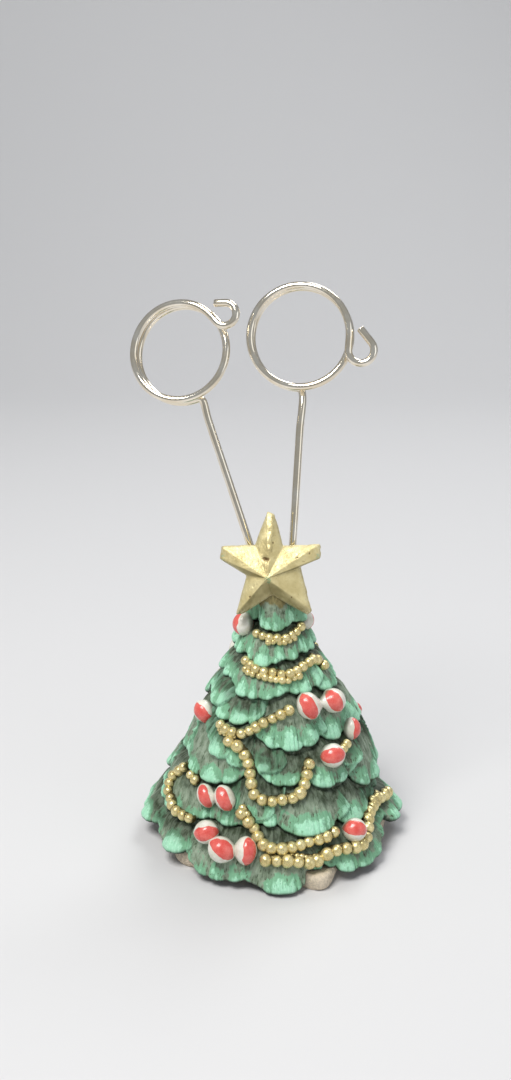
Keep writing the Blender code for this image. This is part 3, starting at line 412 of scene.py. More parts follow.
def circle(first, second, count):
    """Directions spaced evenly all round, from a first towards a second."""
    return swung(np.arange(count)[:, None] * 2 * pi / count, first, second)


def turned_from(center, azimuth):
    """How far azimuths are from a center, from -180 to 180 degrees."""
    return (azimuth - center + 180) % 360 - 180


def polar(azimuth, radius, height):
    """Points from azimuths in degrees, as an array with x, y and z last."""
    angle = np.radians(azimuth)
    parts = np.broadcast_arrays(radius * np.sin(angle), -radius * np.cos(angle), height)
    return np.stack(parts, axis=-1)


def outward(places):
    """Level directions from the tree's axis to places."""
    return unit(places * (1, 1, 0))


def smooth_noise(points, pitch, seed):
    """Smooth noise from -1 to 1 at each point, with features about pitch apart."""
    size = 32
    grid = np.random.RandomState(seed).uniform(-1, 1, (size, size, size))
    place = np.asarray(points) / pitch
    base = np.floor(place).astype(int)
    part = ramp(0, 1, place - base)
    total = 0
    for corner in np.ndindex(2, 2, 2):
        weight = np.where(corner, part, 1 - part).prod(axis=-1)
        index = np.moveaxis((base + corner) % size, -1, 0)
        total = total + weight * grid[tuple(index)]
    return total


def lumps(points, table):
    """A sum of smooth noises, each with its size, the pitch of its features and a seed."""
    return sum(size * smooth_noise(points, pitch, seed) for size, pitch, seed in table)


def link(obj):
    bpy.context.scene.collection.objects.link(obj)
    return obj


def mesh_piece(name, points, faces, attributes):
    """An object from points in millimetres, smooth, with values kept at its points."""
    mesh = bpy.data.meshes.new(name)
    mesh.from_pydata([tuple(p) for p in np.reshape(points, (-1, 3)) * MM], [], faces)
    for key, values in attributes.items():
        whole = np.size(values) > len(mesh.vertices)
        kind, field = ("FLOAT_VECTOR", "vector") if whole else ("FLOAT", "value")
        layer = mesh.attributes.new(key, kind, "POINT")
        layer.data.foreach_set(field, np.ravel(values).astype(np.float32))
    bm = bmesh.new()
    bm.from_mesh(mesh)
    bmesh.ops.recalc_face_normals(bm, faces=bm.faces)
    bm.to_mesh(mesh)
    bm.free()
    mesh.shade_smooth()
    mesh.update()
    return link(bpy.data.objects.new(name, mesh))


def grid_faces(rows, columns):
    """Quads of a closed band of points, and the two caps that end it."""
    grid = np.arange(rows * columns).reshape(rows, columns)
    after = np.roll(grid, -1, axis=1)
    quads = np.stack([grid[:-1], after[:-1], after[1:], grid[1:]], -1)
    return [*quads.reshape(-1, 4).tolist(), grid[0].tolist(), grid[-1].tolist()]


def cone_radius(height):
    return CONE_RADIUS - CONE_TAPER * height


def plinth_radius(azimuth):
    radius = np.full(np.shape(azimuth), PLINTH_RADIUS)
    for center, half_width, change in PLINTH_BUMPS:
        away = np.abs(turned_from(center, azimuth)) / half_width
        radius += change * (1 + np.cos(pi * np.minimum(away, 1))) / 2
    return radius


def frond_edges(tier, azimuth):
    """How far each azimuth is from each frond, and the height of each frond's lip there."""
    table = np.array(TIERS[tier], float)[:, :, None]
    center, half_width, height = table[:, 0], table[:, 1], table[:, 2]
    away = turned_from(center, azimuth)
    share = np.abs(away) / half_width
    arc = np.radians(half_width) * cone_radius(height)
    rise = arc * (FROND_CURL * np.minimum(share, 1) ** 3 + FROND_SIDE * np.maximum(share - 1, 0))
    return away, share, height + rise


def lip_line(tier, azimuth):
    """A tier's lip without its scallops, as radius + 1j * height."""
    _, share, edges = frond_edges(tier, azimuth)
    reach = np.array(TIERS[tier])[:, 3, None] + FROND_SWELL * (0.5 - np.minimum(share, 1) ** 2)
    height = edges.min(0)
    weight = np.exp((height - edges) / REACH_BLEND)
    radius = cone_radius(height) + (reach * weight).sum(0) / weight.sum(0)
    if tier == len(TIERS) - 1:
        # The lowest lip passes over the foot where it wouldn't clear it.
        short = plinth_radius(azimuth) + SEAT_GAP + LIP_THICKNESS - radius
        raised = np.maximum(height, PLINTH_HEIGHT + SEAT_GAP)
        change = ramp(-0.5, 0.3, short) * (raised - height)
        radius = radius - CONE_TAPER * change
        height = height + change
    return radius + 1j * height


def tuck_line(tier, azimuth):
    """Where a tier comes out from under the lip above it, as radius + 1j * height."""
    if tier == 0:
        return np.full(len(azimuth), complex(*CAP_TOP))
    return lip_line(tier - 1, azimuth) - complex(LIP_THICKNESS, LIP_RECESS)


def lobes_of(tier):
    """A tier's lobes all the way round, as rows of azimuth, half width and swell."""
    row = list(LOBES[tier])
    start, end = row[-1][0], row[0][0] + 360
    length = radians(end - start) * cone_radius(TIERS[tier][0][2])
    count = round(length / LOBE_PITCH)
    step = (end - start) / count
    for i in range(1, count):
        vary = sin(LOBE_TURN * i + tier)
        azimuth = start + (i + LOBE_STRAY * vary) * step
        row.append((azimuth, LOBE_HALF * step, LOBE_SWELL * (1 + LOBE_VARIETY * vary)))
    return row


def swell(lobes, azimuth):
    """How far the lobes stand out at each azimuth: rounded tops that meet in creases."""
    total = np.zeros(np.shape(azimuth))
    for center, half_width, height in lobes:
        share = turned_from(center, azimuth) / half_width
        total = np.maximum(total, height * (1 - share**2))
    return total


def waves(tier, pad, along, table):
    """A sum of slow waves along a lip, with phases of a frond's own."""
    total = 0
    for size, rate, seed in table:
        phase = np.random.RandomState(1000 * seed + 37 * tier + pad).uniform(0, 2 * pi)
        total = total + size * np.sin(rate * along + phase)
    return total


def combs(tier, pad, along):
    """Grooves down a frond, 0 between them and 1 at their bottom."""
    place = along / COMB_PITCH + waves(tier, pad, along, COMB_SWING)
    return (1 - np.abs(np.sin(pi * place)) ** 0.7) * (0.5 + waves(tier, pad, along, COMB_STRENGTH))


def folds(tier, pad, along):
    """Rounded folds down a frond: 1 along their tops and 0 in the creases between."""
    place = along / FOLD_PITCH + waves(tier, pad, along, FOLD_SWING)
    return np.abs(np.sin(pi * place)) ** 0.8


def gilt(azimuth, height):
    """Where the gold paint has run on to the cap, with a wavy lower edge."""
    away = turned_from(0, azimuth)
    wave = 0.7 * np.sin(0.13 * away + 2.6) + 0.35 * np.sin(0.31 * away)
    round_front = 1 - ramp(GILT_ROUND - 12, GILT_ROUND, np.abs(away))
    return ramp(-0.12, 0.12, height - GILT_EDGE - wave) * round_front


def topmost_fronds(tier, azimuth, height):
    """Which frond lies on top at each point of a face, and how far it stands out, with
    how far the point is from its middle, in degrees and as a share, and above its lip."""
    table = np.array(TIERS[tier])[:, :, None, None]
    away, share, edges = (values[:, None] for values in frond_edges(tier, azimuth))
    step = np.radians(azimuth[1] - azimuth[0])
    slope = np.gradient(edges, axis=2) / (step * cone_radius(edges))
    depth = (height - edges) / np.sqrt(1 + slope**2) * FACE_SLANT
    fan = 1 - FAN_SHARE * ramp(0, FAN_LENGTH, height - table[:, 2])
    stand = table[:, 4] - PAD_CROWN * np.minimum((share / fan) ** 2, 2)
    stand = stand - PAD_EDGE * (1 - ramp(-PAD_EDGE_RUN, 0, depth))
    pad = stand.argmax(0)
    found = np.broadcast_arrays(stand, away / fan, share, depth)
    return pad, *(np.take_along_axis(values, pad[None], 0)[0] for values in found)


def relief(tier, lobes, azimuth, radius, height):
    """What a tier's face gains over its plain skirt, with what its paint follows."""
    pad, stand, away, share, depth = topmost_fronds(tier, azimuth, height)
    along = np.radians(away) * radius
    lobe = swell(lobes, np.array(TIERS[tier])[pad, 0] + away)
    comb, fold = np.zeros(radius.shape), np.zeros(radius.shape)
    for number in range(len(TIERS[tier])):
        own = pad == number
        comb[own] = combs(tier, number, along[own])
        fold[own] = folds(tier, number, along[own])
    inside = np.maximum(depth, 0)
    near_lip = bell(np.maximum(inside - LOBE_TOP, 0) / LOBE_REACH)
    comb = comb * ramp(0.2, 3.0, inside) * (0.5 + 0.9 * np.minimum(share, 1) ** 2)
    points = np.stack([along, depth, 9.0 * pad + 50 * tier], -1)
    rough = smooth_noise(points * (1, 0.6, 1), 2.6, 11)
    fine = smooth_noise(points * (1, 0.35, 1), 0.8, 12)
    uneven = 0.6 + 0.5 * smooth_noise(points * (1, 0.3, 1), 5.0, 13)
    near_fold = bell(inside / FOLD_REACH) * uneven
    gain = stand - PAD_LEVEL + LOBE_RISE * (lobe - LOBE_LEVEL) * near_lip - COMB_DEPTH * comb
    gain = gain - LIP_FLARE * (1 - bell(inside / LIP_FLARE_REACH))
    gain = gain - UPPER_HOLLOW * ramp(2, 7, inside)
    gain = gain + ROUGH_HEIGHT * rough + FINE_HEIGHT * fine - FOLD_DEPTH * (1 - fold) * near_fold
    raised = lobe * near_lip + FOLD_MINT * (fold - 0.5) * near_fold
    return gain, {"stroke": points, "inside": inside, "comb": comb, "lobe": raised + MINT[tier]}


def tier_piece(tier):
    """One tier of fronds: its face with pads, grooves and lumps, and its rolled lip."""
    widest = cone_radius(min(pad[2] for pad in TIERS[tier]))
    columns = int(2 * pi * widest / COLUMN_WIDTH)
    azimuth = np.arange(columns) * 360 / columns
    tuck, lip = tuck_line(tier, azimuth), lip_line(tier, azimuth)
    lobes = lobes_of(tier)
    lobe = swell(lobes, azimuth)
    low = np.maximum(lip.imag + LOBE_NOTCH * np.maximum(LOBE_LEVEL - lobe, 0), LOWEST_LIP)
    down = np.linspace(0, 1, FACE_ROWS)[:, None]
    radius = tuck.real + down * (lip.real - LIP_INSET - tuck.real)
    height = tuck.imag - down**CROWN_POWER * (tuck.imag - (low + LIP_ROUNDING))
    gain, kept = relief(tier, lobes, azimuth, radius, height)
    face = radius + 1j * height
    # Painted shade on the face just under the lip above
    kept["shade_under_lip"] = 1 - ramp(*SHADE_UNDER_LIP[tier], np.abs(face - face[0]))
    kept["gilt"] = gilt(azimuth, height) * (tier == 0)
    run = np.gradient(face, axis=0)
    out = 1j * run / np.abs(run)
    face = face + gain * ramp(0, 0.12, down) * out

    # The lip turns in under itself round half a circle, thicker at its lobes.
    half = LIP_THICKNESS / 2 * (0.8 + 0.4 * np.minimum(lobe, 1))
    turns = np.radians(np.linspace(0, LIP_TURN, LIP_ROWS + 1)[1:, None])
    roll = face[-1] + half * (np.exp(-1j * turns) - 1) * out[-1]
    roll.imag = np.maximum(roll.imag, LOWEST_ROLL)
    top_share, top_rise = HIDDEN_TOP if tier else CAP_FLAT
    top = complex(top_share * tuck.real.min(), tuck.imag.min() + top_rise)
    inner_radius = np.maximum(lip.real - LIP_THICKNESS - INNER_INSET, 1)
    inner = inner_radius + 1j * (np.maximum(roll[-1].imag, low) + INNER_INSET)
    innermost = inner - INNER_SHARE * inner_radius + 1j * INNER_RISE
    line = np.vstack([np.full(columns, top), face, roll, inner, innermost])

    row = np.arange(len(line))
    face_row = np.clip(row - 1, 0, FACE_ROWS - 1)
    attributes = {key: values[face_row] for key, values in kept.items()}
    # How far round the rolled lip a point lies, which the paint darkens as painted shade
    attributes["under"] = np.repeat(np.clip((row - FACE_ROWS) / (LIP_ROWS - 1), 0, 1), columns)
    points = polar(azimuth, line.real, line.imag)
    return mesh_piece(f"fronds_{tier + 1}", points, grid_faces(*line.shape), attributes)


def foot_piece():
    """The bare cast foot, with a rough, slightly wavy edge."""
    azimuth = np.arange(FOOT_COLUMNS) * 360 / FOOT_COLUMNS
    inset, height = np.array(FOOT_PROFILE).T[:, :, None]
    radius = plinth_radius(azimuth) - FOOT_INSET - inset
    points = polar(azimuth, radius, height)
    side = ramp(0.05, 0.6, height) * (1 - ramp(4.0, 4.3, height))
    radius = radius + np.minimum(lumps(points, FOOT_LUMPS), FOOT_LUMP_LIMIT) * side
    return mesh_piece("foot", polar(azimuth, radius, height), grid_faces(*radius.shape), {})


def star_outline():
    """The star's outline as evenly spaced points with slightly rounded corners."""
    corners = [np.array(p) for ends, inner in zip(STAR_TIPS, STAR_CORNERS) for p in (*ends, inner)]
    outline = []
    for start, end in zip(corners, corners[1:] + corners[:1]):
        steps = max(round(np.linalg.norm(end - start) / STAR_STEP), 1)
        outline += [start + (end - start) * i / steps for i in range(steps)]
    outline = np.array(outline)
    return sum(w * np.roll(outline, k, axis=0) for k, w in ((-1, 0.2), (0, 0.6), (1, 0.2)))


def star_rings(shares):
    """Rows of the star's rings: size, height, and how much paler its paint is there."""
    face = (shares - 0.02 * shares**6, -STAR_RIDGE * shares - STAR_ROUND * shares**14, shares**10)
    depth, inset = np.array(RIM_RINGS).T
    rim_top = -STAR_RIDGE - STAR_ROUND
    rim = (1 - inset, rim_top - (STAR_RIM - STAR_ROUND) * depth, 0.5 * (1 - depth))
    back = [(share, -STAR_RIDGE - STAR_RIM, 0) for share in BACK_RINGS]
    return np.hstack([face, rim, np.transpose(back)])[:, :, None]


def mark_star(face, pits):
    """Adds lumps, a groove and holes to the star's face, and notes where it is stained."""
    generator = np.random.RandomState(4)
    across, up = face[..., 0], face[..., 1]

    def away_from(center):
        return np.hypot(across - center[0], up - center[1])

    def carve(depth, stain, mark):
        face[..., 2] -= depth * mark
        np.maximum(pits, stain * mark, out=pits)

    ridge = np.mean(STAR_TIPS[0], axis=0)
    for at, size, height in STAR_LUMPS:
        away = away_from(ridge * at + generator.uniform(-0.3, 0.3, 2)) / size
        face[..., 2] += height * bell(away, 1.6)
        carve(0, 0.55, bell((away - 1.05) / 0.22))
    groove = bell(across / 0.2) * ramp(0, 0.6, up) * (1 - ramp(3.6, 4.6, up))
    carve(0.15, 0.6, groove)
    for x, y, size, depth in STAR_HOLES:
        carve(depth, 1, bell((away_from((x, y)) / size) ** 2))
    for _ in range(STAR_PITS):
        arm = np.mean(STAR_TIPS[generator.randint(5)], axis=0)
        center = arm * generator.uniform(0.2, 0.95) + generator.uniform(-1.6, 1.6, 2)
        size = generator.uniform(0.15, 0.32)
        carve(0.12, 0.6, bell(away_from(center) / size, 1.5))
    return np.max([bell(away_from((x, y)) / size) for x, y, size in STAR_SMEARS], axis=0)


def star_piece():
    """The star: facets round its ridge point, blunt tips, a rim and a flat back."""
    outline = star_outline()
    shares = np.linspace(0.02, 1, FACE_RINGS)
    scale, height, paler_edge = star_rings(shares)
    shape = (len(scale), len(outline))
    points = np.empty((*shape, 3))
    points[..., :2] = scale[..., None] * outline
    points[..., 2] = height
    face, rim = points[:FACE_RINGS], points[FACE_RINGS : -len(BACK_RINGS)]
    rough = lumps(points, STAR_ROUGHNESS)
    face[..., 2] += rough[:FACE_RINGS] * ramp(0, 0.2, shares)[:, None]
    rim[..., :2] *= (1 + 0.2 * rough[FACE_RINGS : -len(BACK_RINGS)])[..., None]
    # Facets that face down get painted shade, less of it round the middle of the star.
    tangent = np.roll(outline, -1, axis=0) - np.roll(outline, 1, axis=0)
    shade_facing_down = np.ones(shape) * np.clip(-unit(tangent)[:, 0], 0, 1)
    shade_facing_down[: FACE_RINGS // 6] *= 0.5
    pits, smear = np.zeros(shape), np.zeros(shape)
    smear[:FACE_RINGS] = mark_star(face, pits[:FACE_RINGS])
    attributes = {"paler_edge": paler_edge * np.ones(shape), "pit": pits, "shade_facing_down": shade_facing_down, "smear": smear}
    piece = mesh_piece("star_gold", points, grid_faces(*shape), attributes)
    turn = Matrix.Rotation(radians(90 - STAR_TILT), 4, "X")
    piece.data.transform(Matrix.Translation(Vector(STAR_PLACE) * MM) @ turn)
    return piece


def wire_plane(u, v):
    return np.array(SOCKET_PLACE) + u * ACROSS + v * swung(radians(WIRE_LEAN), UP, BACK)


def smooth_leg(start, start_pull, end, end_pull, shares):
    """Points at shares of the way along a smooth bend between two places."""
    t = shares[:, None]
    reached = 3 * t**2 - 2 * t**3
    pulled = (t**3 - 2 * t**2 + t) * start_pull + (t**3 - t**2) * end_pull
    return start + reached * (end - start) + pulled


def wire_line(wire):
    """The wire's middle line: stem, bend, coil of almost two turns, hook and tail."""
    mouth, stem_end = wire_plane(*wire.mouth), wire_plane(*wire.stem_end)
    stem = unit(stem_end - mouth)
    stem_end = stem_end - BEND_EARLY * stem
    lean, yaw = np.radians((WIRE_LEAN + wire.coil_lean, wire.coil_yaw))
    up, level = swung(lean, UP, BACK), swung(lean, -BACK, UP)
    right, out = swung(yaw, ACROSS, level), swung(yaw, level, -ACROSS)
    start, end, hook_turn = np.radians(wire.turns)
    turn = start - end + 4 * pi
    advance = COIL_PITCH / (2 * pi) * out

    def along_coil(turned):
        flat = swung(start - turned - pi / 2, right, up)
        return unit(wire.coil_radius * flat + advance)

    turned = np.linspace(0, turn, COIL_STEPS)[:, None]
    coil = wire_plane(*wire.coil_center) + wire.coil_radius * swung(start - turned, right, up)
    coil = coil + (turned - turn / 2) * advance
    stem_pull, coil_pull = BEND_PULLS
    shares = np.arange(1, BEND_STEPS) / BEND_STEPS
    bend = smooth_leg(stem_end, stem * stem_pull, coil[0], along_coil(0) * coil_pull, shares)
    lead = coil[-1] + wire.hook_lead * along_coil(turn)
    hook_center = lead + wire.hook_radius * swung(end, right, up)
    angle = end + pi + hook_turn * np.linspace(0, 1, HOOK_STEPS)[:, None]
    hook = hook_center + wire.hook_radius * swung(angle, right, up)
    tail_way = swung(end - pi / 2 + hook_turn, right, up)
    tail = hook[-1] + wire.tail * tail_way * np.array([[0.5], [1.0]])
    straight = mouth + (stem_end - mouth) * np.linspace(0, 1, STEM_STEPS)[:, None]
    foot = mouth - SOCKET_DEPTH * stem
    return np.vstack([foot, straight, bend, coil, lead, hook[1:], tail])


def wire_piece(name, wire):
    """A round polished wire with blunt, slightly rounded ends."""
    line = wire_line(wire)
    ways = unit(np.gradient(line, axis=0))
    side = np.cross(ways[0], (1, 0, 0))
    rings = []
    for way in ways:
        side = unit(side - way * (side @ way))
        rings.append(circle(side, np.cross(way, side), WIRE_SIDES))
    rows = [line[0] + back * ways[0] + WIRE_RADIUS * share * rings[0] for share, back in WIRE_END]
    line[0] += END_LENGTH * ways[0]
    last = line[-1].copy()
    line[-1] -= END_LENGTH * ways[-1]
    for point, ring in zip(line, rings):
        thin = WIRE_THINNER * ramp(*WIRE_THIN_FROM, point[2])
        rows.append(point + (WIRE_RADIUS - thin) * ring)
    for share, back in reversed(WIRE_END):
        rows.append(last - back * ways[-1] + WIRE_RADIUS * share * rings[-1])
    return mesh_piece(name + "_round", rows, grid_faces(len(rows), WIRE_SIDES), {})


def shifted(faces, first):
    """Faces whose points come after others in a list."""
    return [tuple(first + i for i in face) for face in faces]


def search_tree(pieces):
    """One search tree of several pieces, in millimetres."""
    points, faces = [], []
    for piece in pieces:
        quads = [face.vertices for face in piece.data.polygons if len(face.vertices) == 4]
        faces += shifted(quads, len(points))
        points += [v.co / MM for v in piece.data.vertices]
    return BVHTree.FromPolygons(points, faces)


def seated_radius(tree, azimuth, height, clear):
    """How far from the axis a ball comes to rest when it is pushed straight in."""
    radius = SEAT_FROM
    for _ in range(SEAT_TRIES):
        free = tree.find_nearest(Vector(polar(azimuth, radius, height)))[3] - clear
        if free < SEAT_NEAR:
            break
        radius = max(radius - free, SEAT_LEAST)
    return radius


def smooth_through(points):
    """Points of a smooth curve through the given ones."""
    points = np.array(points, float)
    ends = np.vstack([2 * points[0] - points[1], points, 2 * points[-1] - points[-2]])
    pulls = (ends[2:] - ends[:-2]) / 2
    shares = np.arange(GARLAND_STEPS) / GARLAND_STEPS
    legs = zip(points, pulls, points[1:], pulls[1:])
    return np.vstack([*(smooth_leg(*leg, shares) for leg in legs), points[-1]])


def strand_line(tree, diameter, hung):
    """A garland's middle line, pressed a little into what is under it and pulled taut."""
    route = smooth_through(hung)
    clear = diameter / 2 * (1 - BEAD_SINK)
    radii = np.array([seated_radius(tree, a, h, clear) for a, h in route])
    line = polar(route[:, 0], radii, route[:, 1])
    last = len(line) - 1
    for step, order in ((-1, range(1, last + 1)), (1, range(last - 1, -1, -1))):
        for i in order:
            apart = np.linalg.norm(line[i] - line[i + step])
            radii[i] = max(radii[i], radii[i + step] - STRAND_SLOPE * apart)
    radii = np.convolve(np.pad(radii, len(STRAND_EASE) // 2, "edge"), STRAND_EASE, "valid")
    return polar(route[:, 0], radii, route[:, 1])


def evenly(line, spacing):
    lengths = np.concatenate([[0], np.cumsum(np.linalg.norm(np.diff(line, axis=0), axis=1))])
    count = max(round(lengths[-1] / spacing), 1)
    at = np.linspace(0, lengths[-1], count + 1)
    return np.stack([np.interp(at, lengths, line[:, axis]) for axis in range(3)], -1)


def unit_ball(subdivisions):
    bm = bmesh.new()
    bmesh.ops.create_icosphere(bm, subdivisions=subdivisions, radius=1)
    points = np.array([v.co for v in bm.verts])
    faces = [tuple(v.index for v in f.verts) for f in bm.faces]
    bm.free()
    return points, faces


def add_to(parts, new_points, new_faces, depths):
    """Adds a shape to a strand, with how deep in a crevice each of its points lies, for painted shade."""
    points, faces, crevice = parts
    faces.extend(shifted(new_faces, len(points)))
    points.extend(new_points)
    crevice.extend(depths)


def add_beads(parts, subdivisions, necks, size, fullness, generator):
    """Adds a row of cast beads, each between two places on their strand."""
    ball, faces = unit_ball(subdivisions)
    for start, end in zip(necks, necks[1:]):
        full_size = size * generator.uniform(*fullness)
        along = unit(end - start)
        middle = (start + end) / 2
        stretch = generator.uniform(*BEAD_STRETCH)
        shape = ball + (ball @ along)[:, None] * along * (stretch - 1)
        shape = shape * full_size / 2 * (1 + 0.05 * smooth_noise(ball + middle, 0.9, 77)[:, None])
        shift = generator.uniform(-BEAD_STRAY, BEAD_STRAY, 3)
        # Painted shade towards the necks between beads and on the side that faces the tree
        to_neck = np.abs(ball @ along) ** 4
        to_tree = ramp(-0.1, -0.8, ball @ outward(middle))
        add_to(parts, middle + shift + shape, faces, np.clip(0.8 * to_neck + to_tree, 0, 1))


def add_web(parts, line, diameter, generator):
    """Adds the lumpy web of gold between a strand's beads and the fronds."""
    path = evenly(line, WEB_STEP)
    inward = -outward(path)
    path = path + WEB_SINK * diameter * inward
    other = unit(np.cross(unit(np.gradient(path, axis=0)), inward))
    ring = circle(inward[:, None], WEB_WIDTH * other[:, None], WEB_SIDES)
    thick = WEB_RADIUS * diameter * generator.uniform(*WEB_VARIETY, len(path))
    thick[0] = thick[-1] = WEB_END * WEB_RADIUS * diameter
    points = (path[:, None] + thick[:, None, None] * ring).reshape(-1, 3)
    add_to(parts, points, grid_faces(len(path), WEB_SIDES), [WEB_CREVICE] * len(points))


def garland_piece(name, diameter, hung, tree, seed):
    """A string of cast beads, each a little unlike the next, on a web of gold."""
    generator = np.random.RandomState(seed)
    parts = [], [], []
    line = strand_line(tree, diameter, hung)
    add_beads(parts, 3, evenly(line, diameter * BEAD_SPACING), diameter, BEAD_FULLNESS, generator)
    add_web(parts, line, diameter, generator)
    for first, last, higher, share in SECOND_ROWS.get(name, ()):
        small = diameter * share
        route = smooth_through(hung)
        route = route[int(first * len(route)) : int(last * len(route)) + 1] + (0, higher)
        row = evenly(strand_line(tree, small, route[::3]), small * SECOND_SPACING)
        add_beads(parts, 2, row, small, SECOND_FULLNESS, generator)
        add_web(parts, row, small, generator)
    points, faces, crevice = parts
    return mesh_piece(f"garland_{name}_beads", points, faces, {"crevice": crevice})


def view_axes(turn, down):
    """Right, up and towards the viewer, who has gone round the tree and looks down."""
    right, level = swung(turn, ACROSS, BACK), swung(turn, -BACK, ACROSS)
    return right, swung(down, UP, -level), swung(down, level, UP)


def candy_center(number, tree):
    azimuth, height, radius = CANDIES[number][:3]
    seated = seated_radius(tree, azimuth, height, radius * (1 - CANDY_SINK))
    return polar(azimuth, seated - CANDY_DEEPER.get(number, 0), height)


def candy_piece(number, centers):
    """A glazed peppermint ball with lens-shaped red patches round its axis."""
    azimuth, _, radius, lean, turned, tall, wide = CANDIES[number]
    at_back = abs(azimuth) > 90
    right, up, toward = view_axes(radians(azimuth), 0) if at_back else view_axes(0, CAMERA_DOWN)
    axis = swung(radians(lean), up, right)
    front = swung(radians(turned), toward, np.cross(axis, toward))
    beside = np.cross(axis, front)
    ball, faces = unit_ball(4)
    upward, sideways = ball @ axis, ball @ beside
    latitude = np.arcsin(np.clip(upward, -1, 1))
    longitude = np.arctan2(sideways, ball @ front)
    nearest = (longitude + pi / 2) % pi - pi / 2
    lens = np.clip(1 - (latitude / radians(PATCH_TALL)) ** 2, 0, 1) ** 0.8
    stripe = radians(PATCH_HALF) * lens - np.abs(nearest) * np.cos(latitude)
    stripe = stripe + lumps(ball + number, PATCH_RAGGEDNESS)
    pole = 0.05 * bell((pi / 2 - np.abs(latitude)) / 0.25)
    swollen = 1 + 0.02 * ramp(-0.02, 0.1, stripe) + pole + lumps(ball + number, CANDY_LUMPS)
    shape = ball * swollen[:, None] + (tall - 1) * upward[:, None] * axis
    shape = shape + (wide - 1) * sideways[:, None] * beside
    center = centers[number]
    for other in [sum(pair) - number for pair in CANDY_PAIRS if number in pair]:
        way = centers[other] - center
        apart = np.linalg.norm(way)
        reach = max(apart / 2 - radius, 0) / radius + 0.1
        joined = bell(np.arccos(np.clip(ball @ way / apart, -1, 1)) / NECK_ANGLE)
        shape = shape + (reach * joined)[:, None] * ball
        stripe = stripe - 0.7 * joined
    # Painted shade on the side of the ball that faces the tree
    shade_toward_tree = ramp(-0.05, -0.4, ball @ outward(center))
    name = f"peppermint_{number + 1:02d}_glazed"
    return mesh_piece(name, center + radius * shape, faces, {"stripe": stripe, "shade_toward_tree": shade_toward_tree})


class Value:
    """A number or colour that varies over a surface, with arithmetic by nodes."""

    def __init__(self, nodes, socket):
        self.nodes = nodes
        self.socket = socket

    def joined(self, operation, other):
        return self.nodes.node("Math", (self, other), 0, operation=operation)

    __add__ = partialmethod(joined, "ADD")
    __sub__ = partialmethod(joined, "SUBTRACT")
    __mul__ = partialmethod(joined, "MULTIPLY")


class Nodes:
    """The nodes of a material or world, with short ways to add and join them.

    A paint also keeps its colour so far, and each coat goes over it.
    """

    def __init__(self, owner):
        owner.use_nodes = True
        self.owner = owner
        self.color = None
        self.tree = owner.node_tree

    def join(self, source, target):
        if isinstance(source, Value):
            self.tree.links.new(source.socket, target)
        elif target.type == "RGBA":
            target.default_value = (*source, 1.0)
        else:
            target.default_value = source

    def node(self, kind, inputs, output, **settings):
        node = self.tree.nodes.new("ShaderNode" + kind)
        for key, setting in settings.items():
            setattr(node, key, setting)
        by_key = inputs.items() if isinstance(inputs, dict) else enumerate(inputs)
        for key, source in by_key:
            self.join(source, node.inputs[key])
        return Value(self, node.outputs[output])

    def set(self, surface="Principled BSDF", **inputs):
        for key, source in inputs.items():
            self.join(source, self.tree.nodes[surface].inputs[key.replace("_", " ")])

    def kept(self, name, output="Fac"):
        return self.node("Attribute", (), output, attribute_name=name)

    def place(self):
        return self.node("TexCoord", (), "Object")

    def scaled(self, vector, scale):
        return self.node("VectorMath", (vector, scale), 0, operation="MULTIPLY")

    def noise(self, vector, scale, detail=3.0, rough=0.55):
        inputs = {"Vector": vector, "Scale": scale, "Detail": detail, "Roughness": rough}
        return self.node("TexNoise", inputs, "Fac")

    def grain(self, scale, detail=3.0, rough=0.55):
        return self.noise(self.place(), scale, detail, rough)

    def range(self, value, low, high, to_low=0.0, to_high=1.0):
        inputs = value, low, high, to_low, to_high
        return self.node("MapRange", inputs, "Result", interpolation_type="SMOOTHSTEP")

    def mix(self, factor, a, b):
        color_a, color_b, color_result = 6, 7, 2
        inputs = {0: factor, color_a: a, color_b: b}
        return self.node("Mix", inputs, color_result, data_type="RGBA")

    def bump(self, height, strength, distance):
        inputs = {"Strength": strength, "Distance": distance, "Height": height}
        return self.node("Bump", inputs, "Normal")

    def coat(self, factor, color):
        self.color = self.mix(factor, self.color, color)

    def finish(self, roughness, **others):
        self.set(Base_Color=self.color, Roughness=roughness, **others)
        return self.owner


def paint(name):
    return Nodes(bpy.data.materials.new(name))


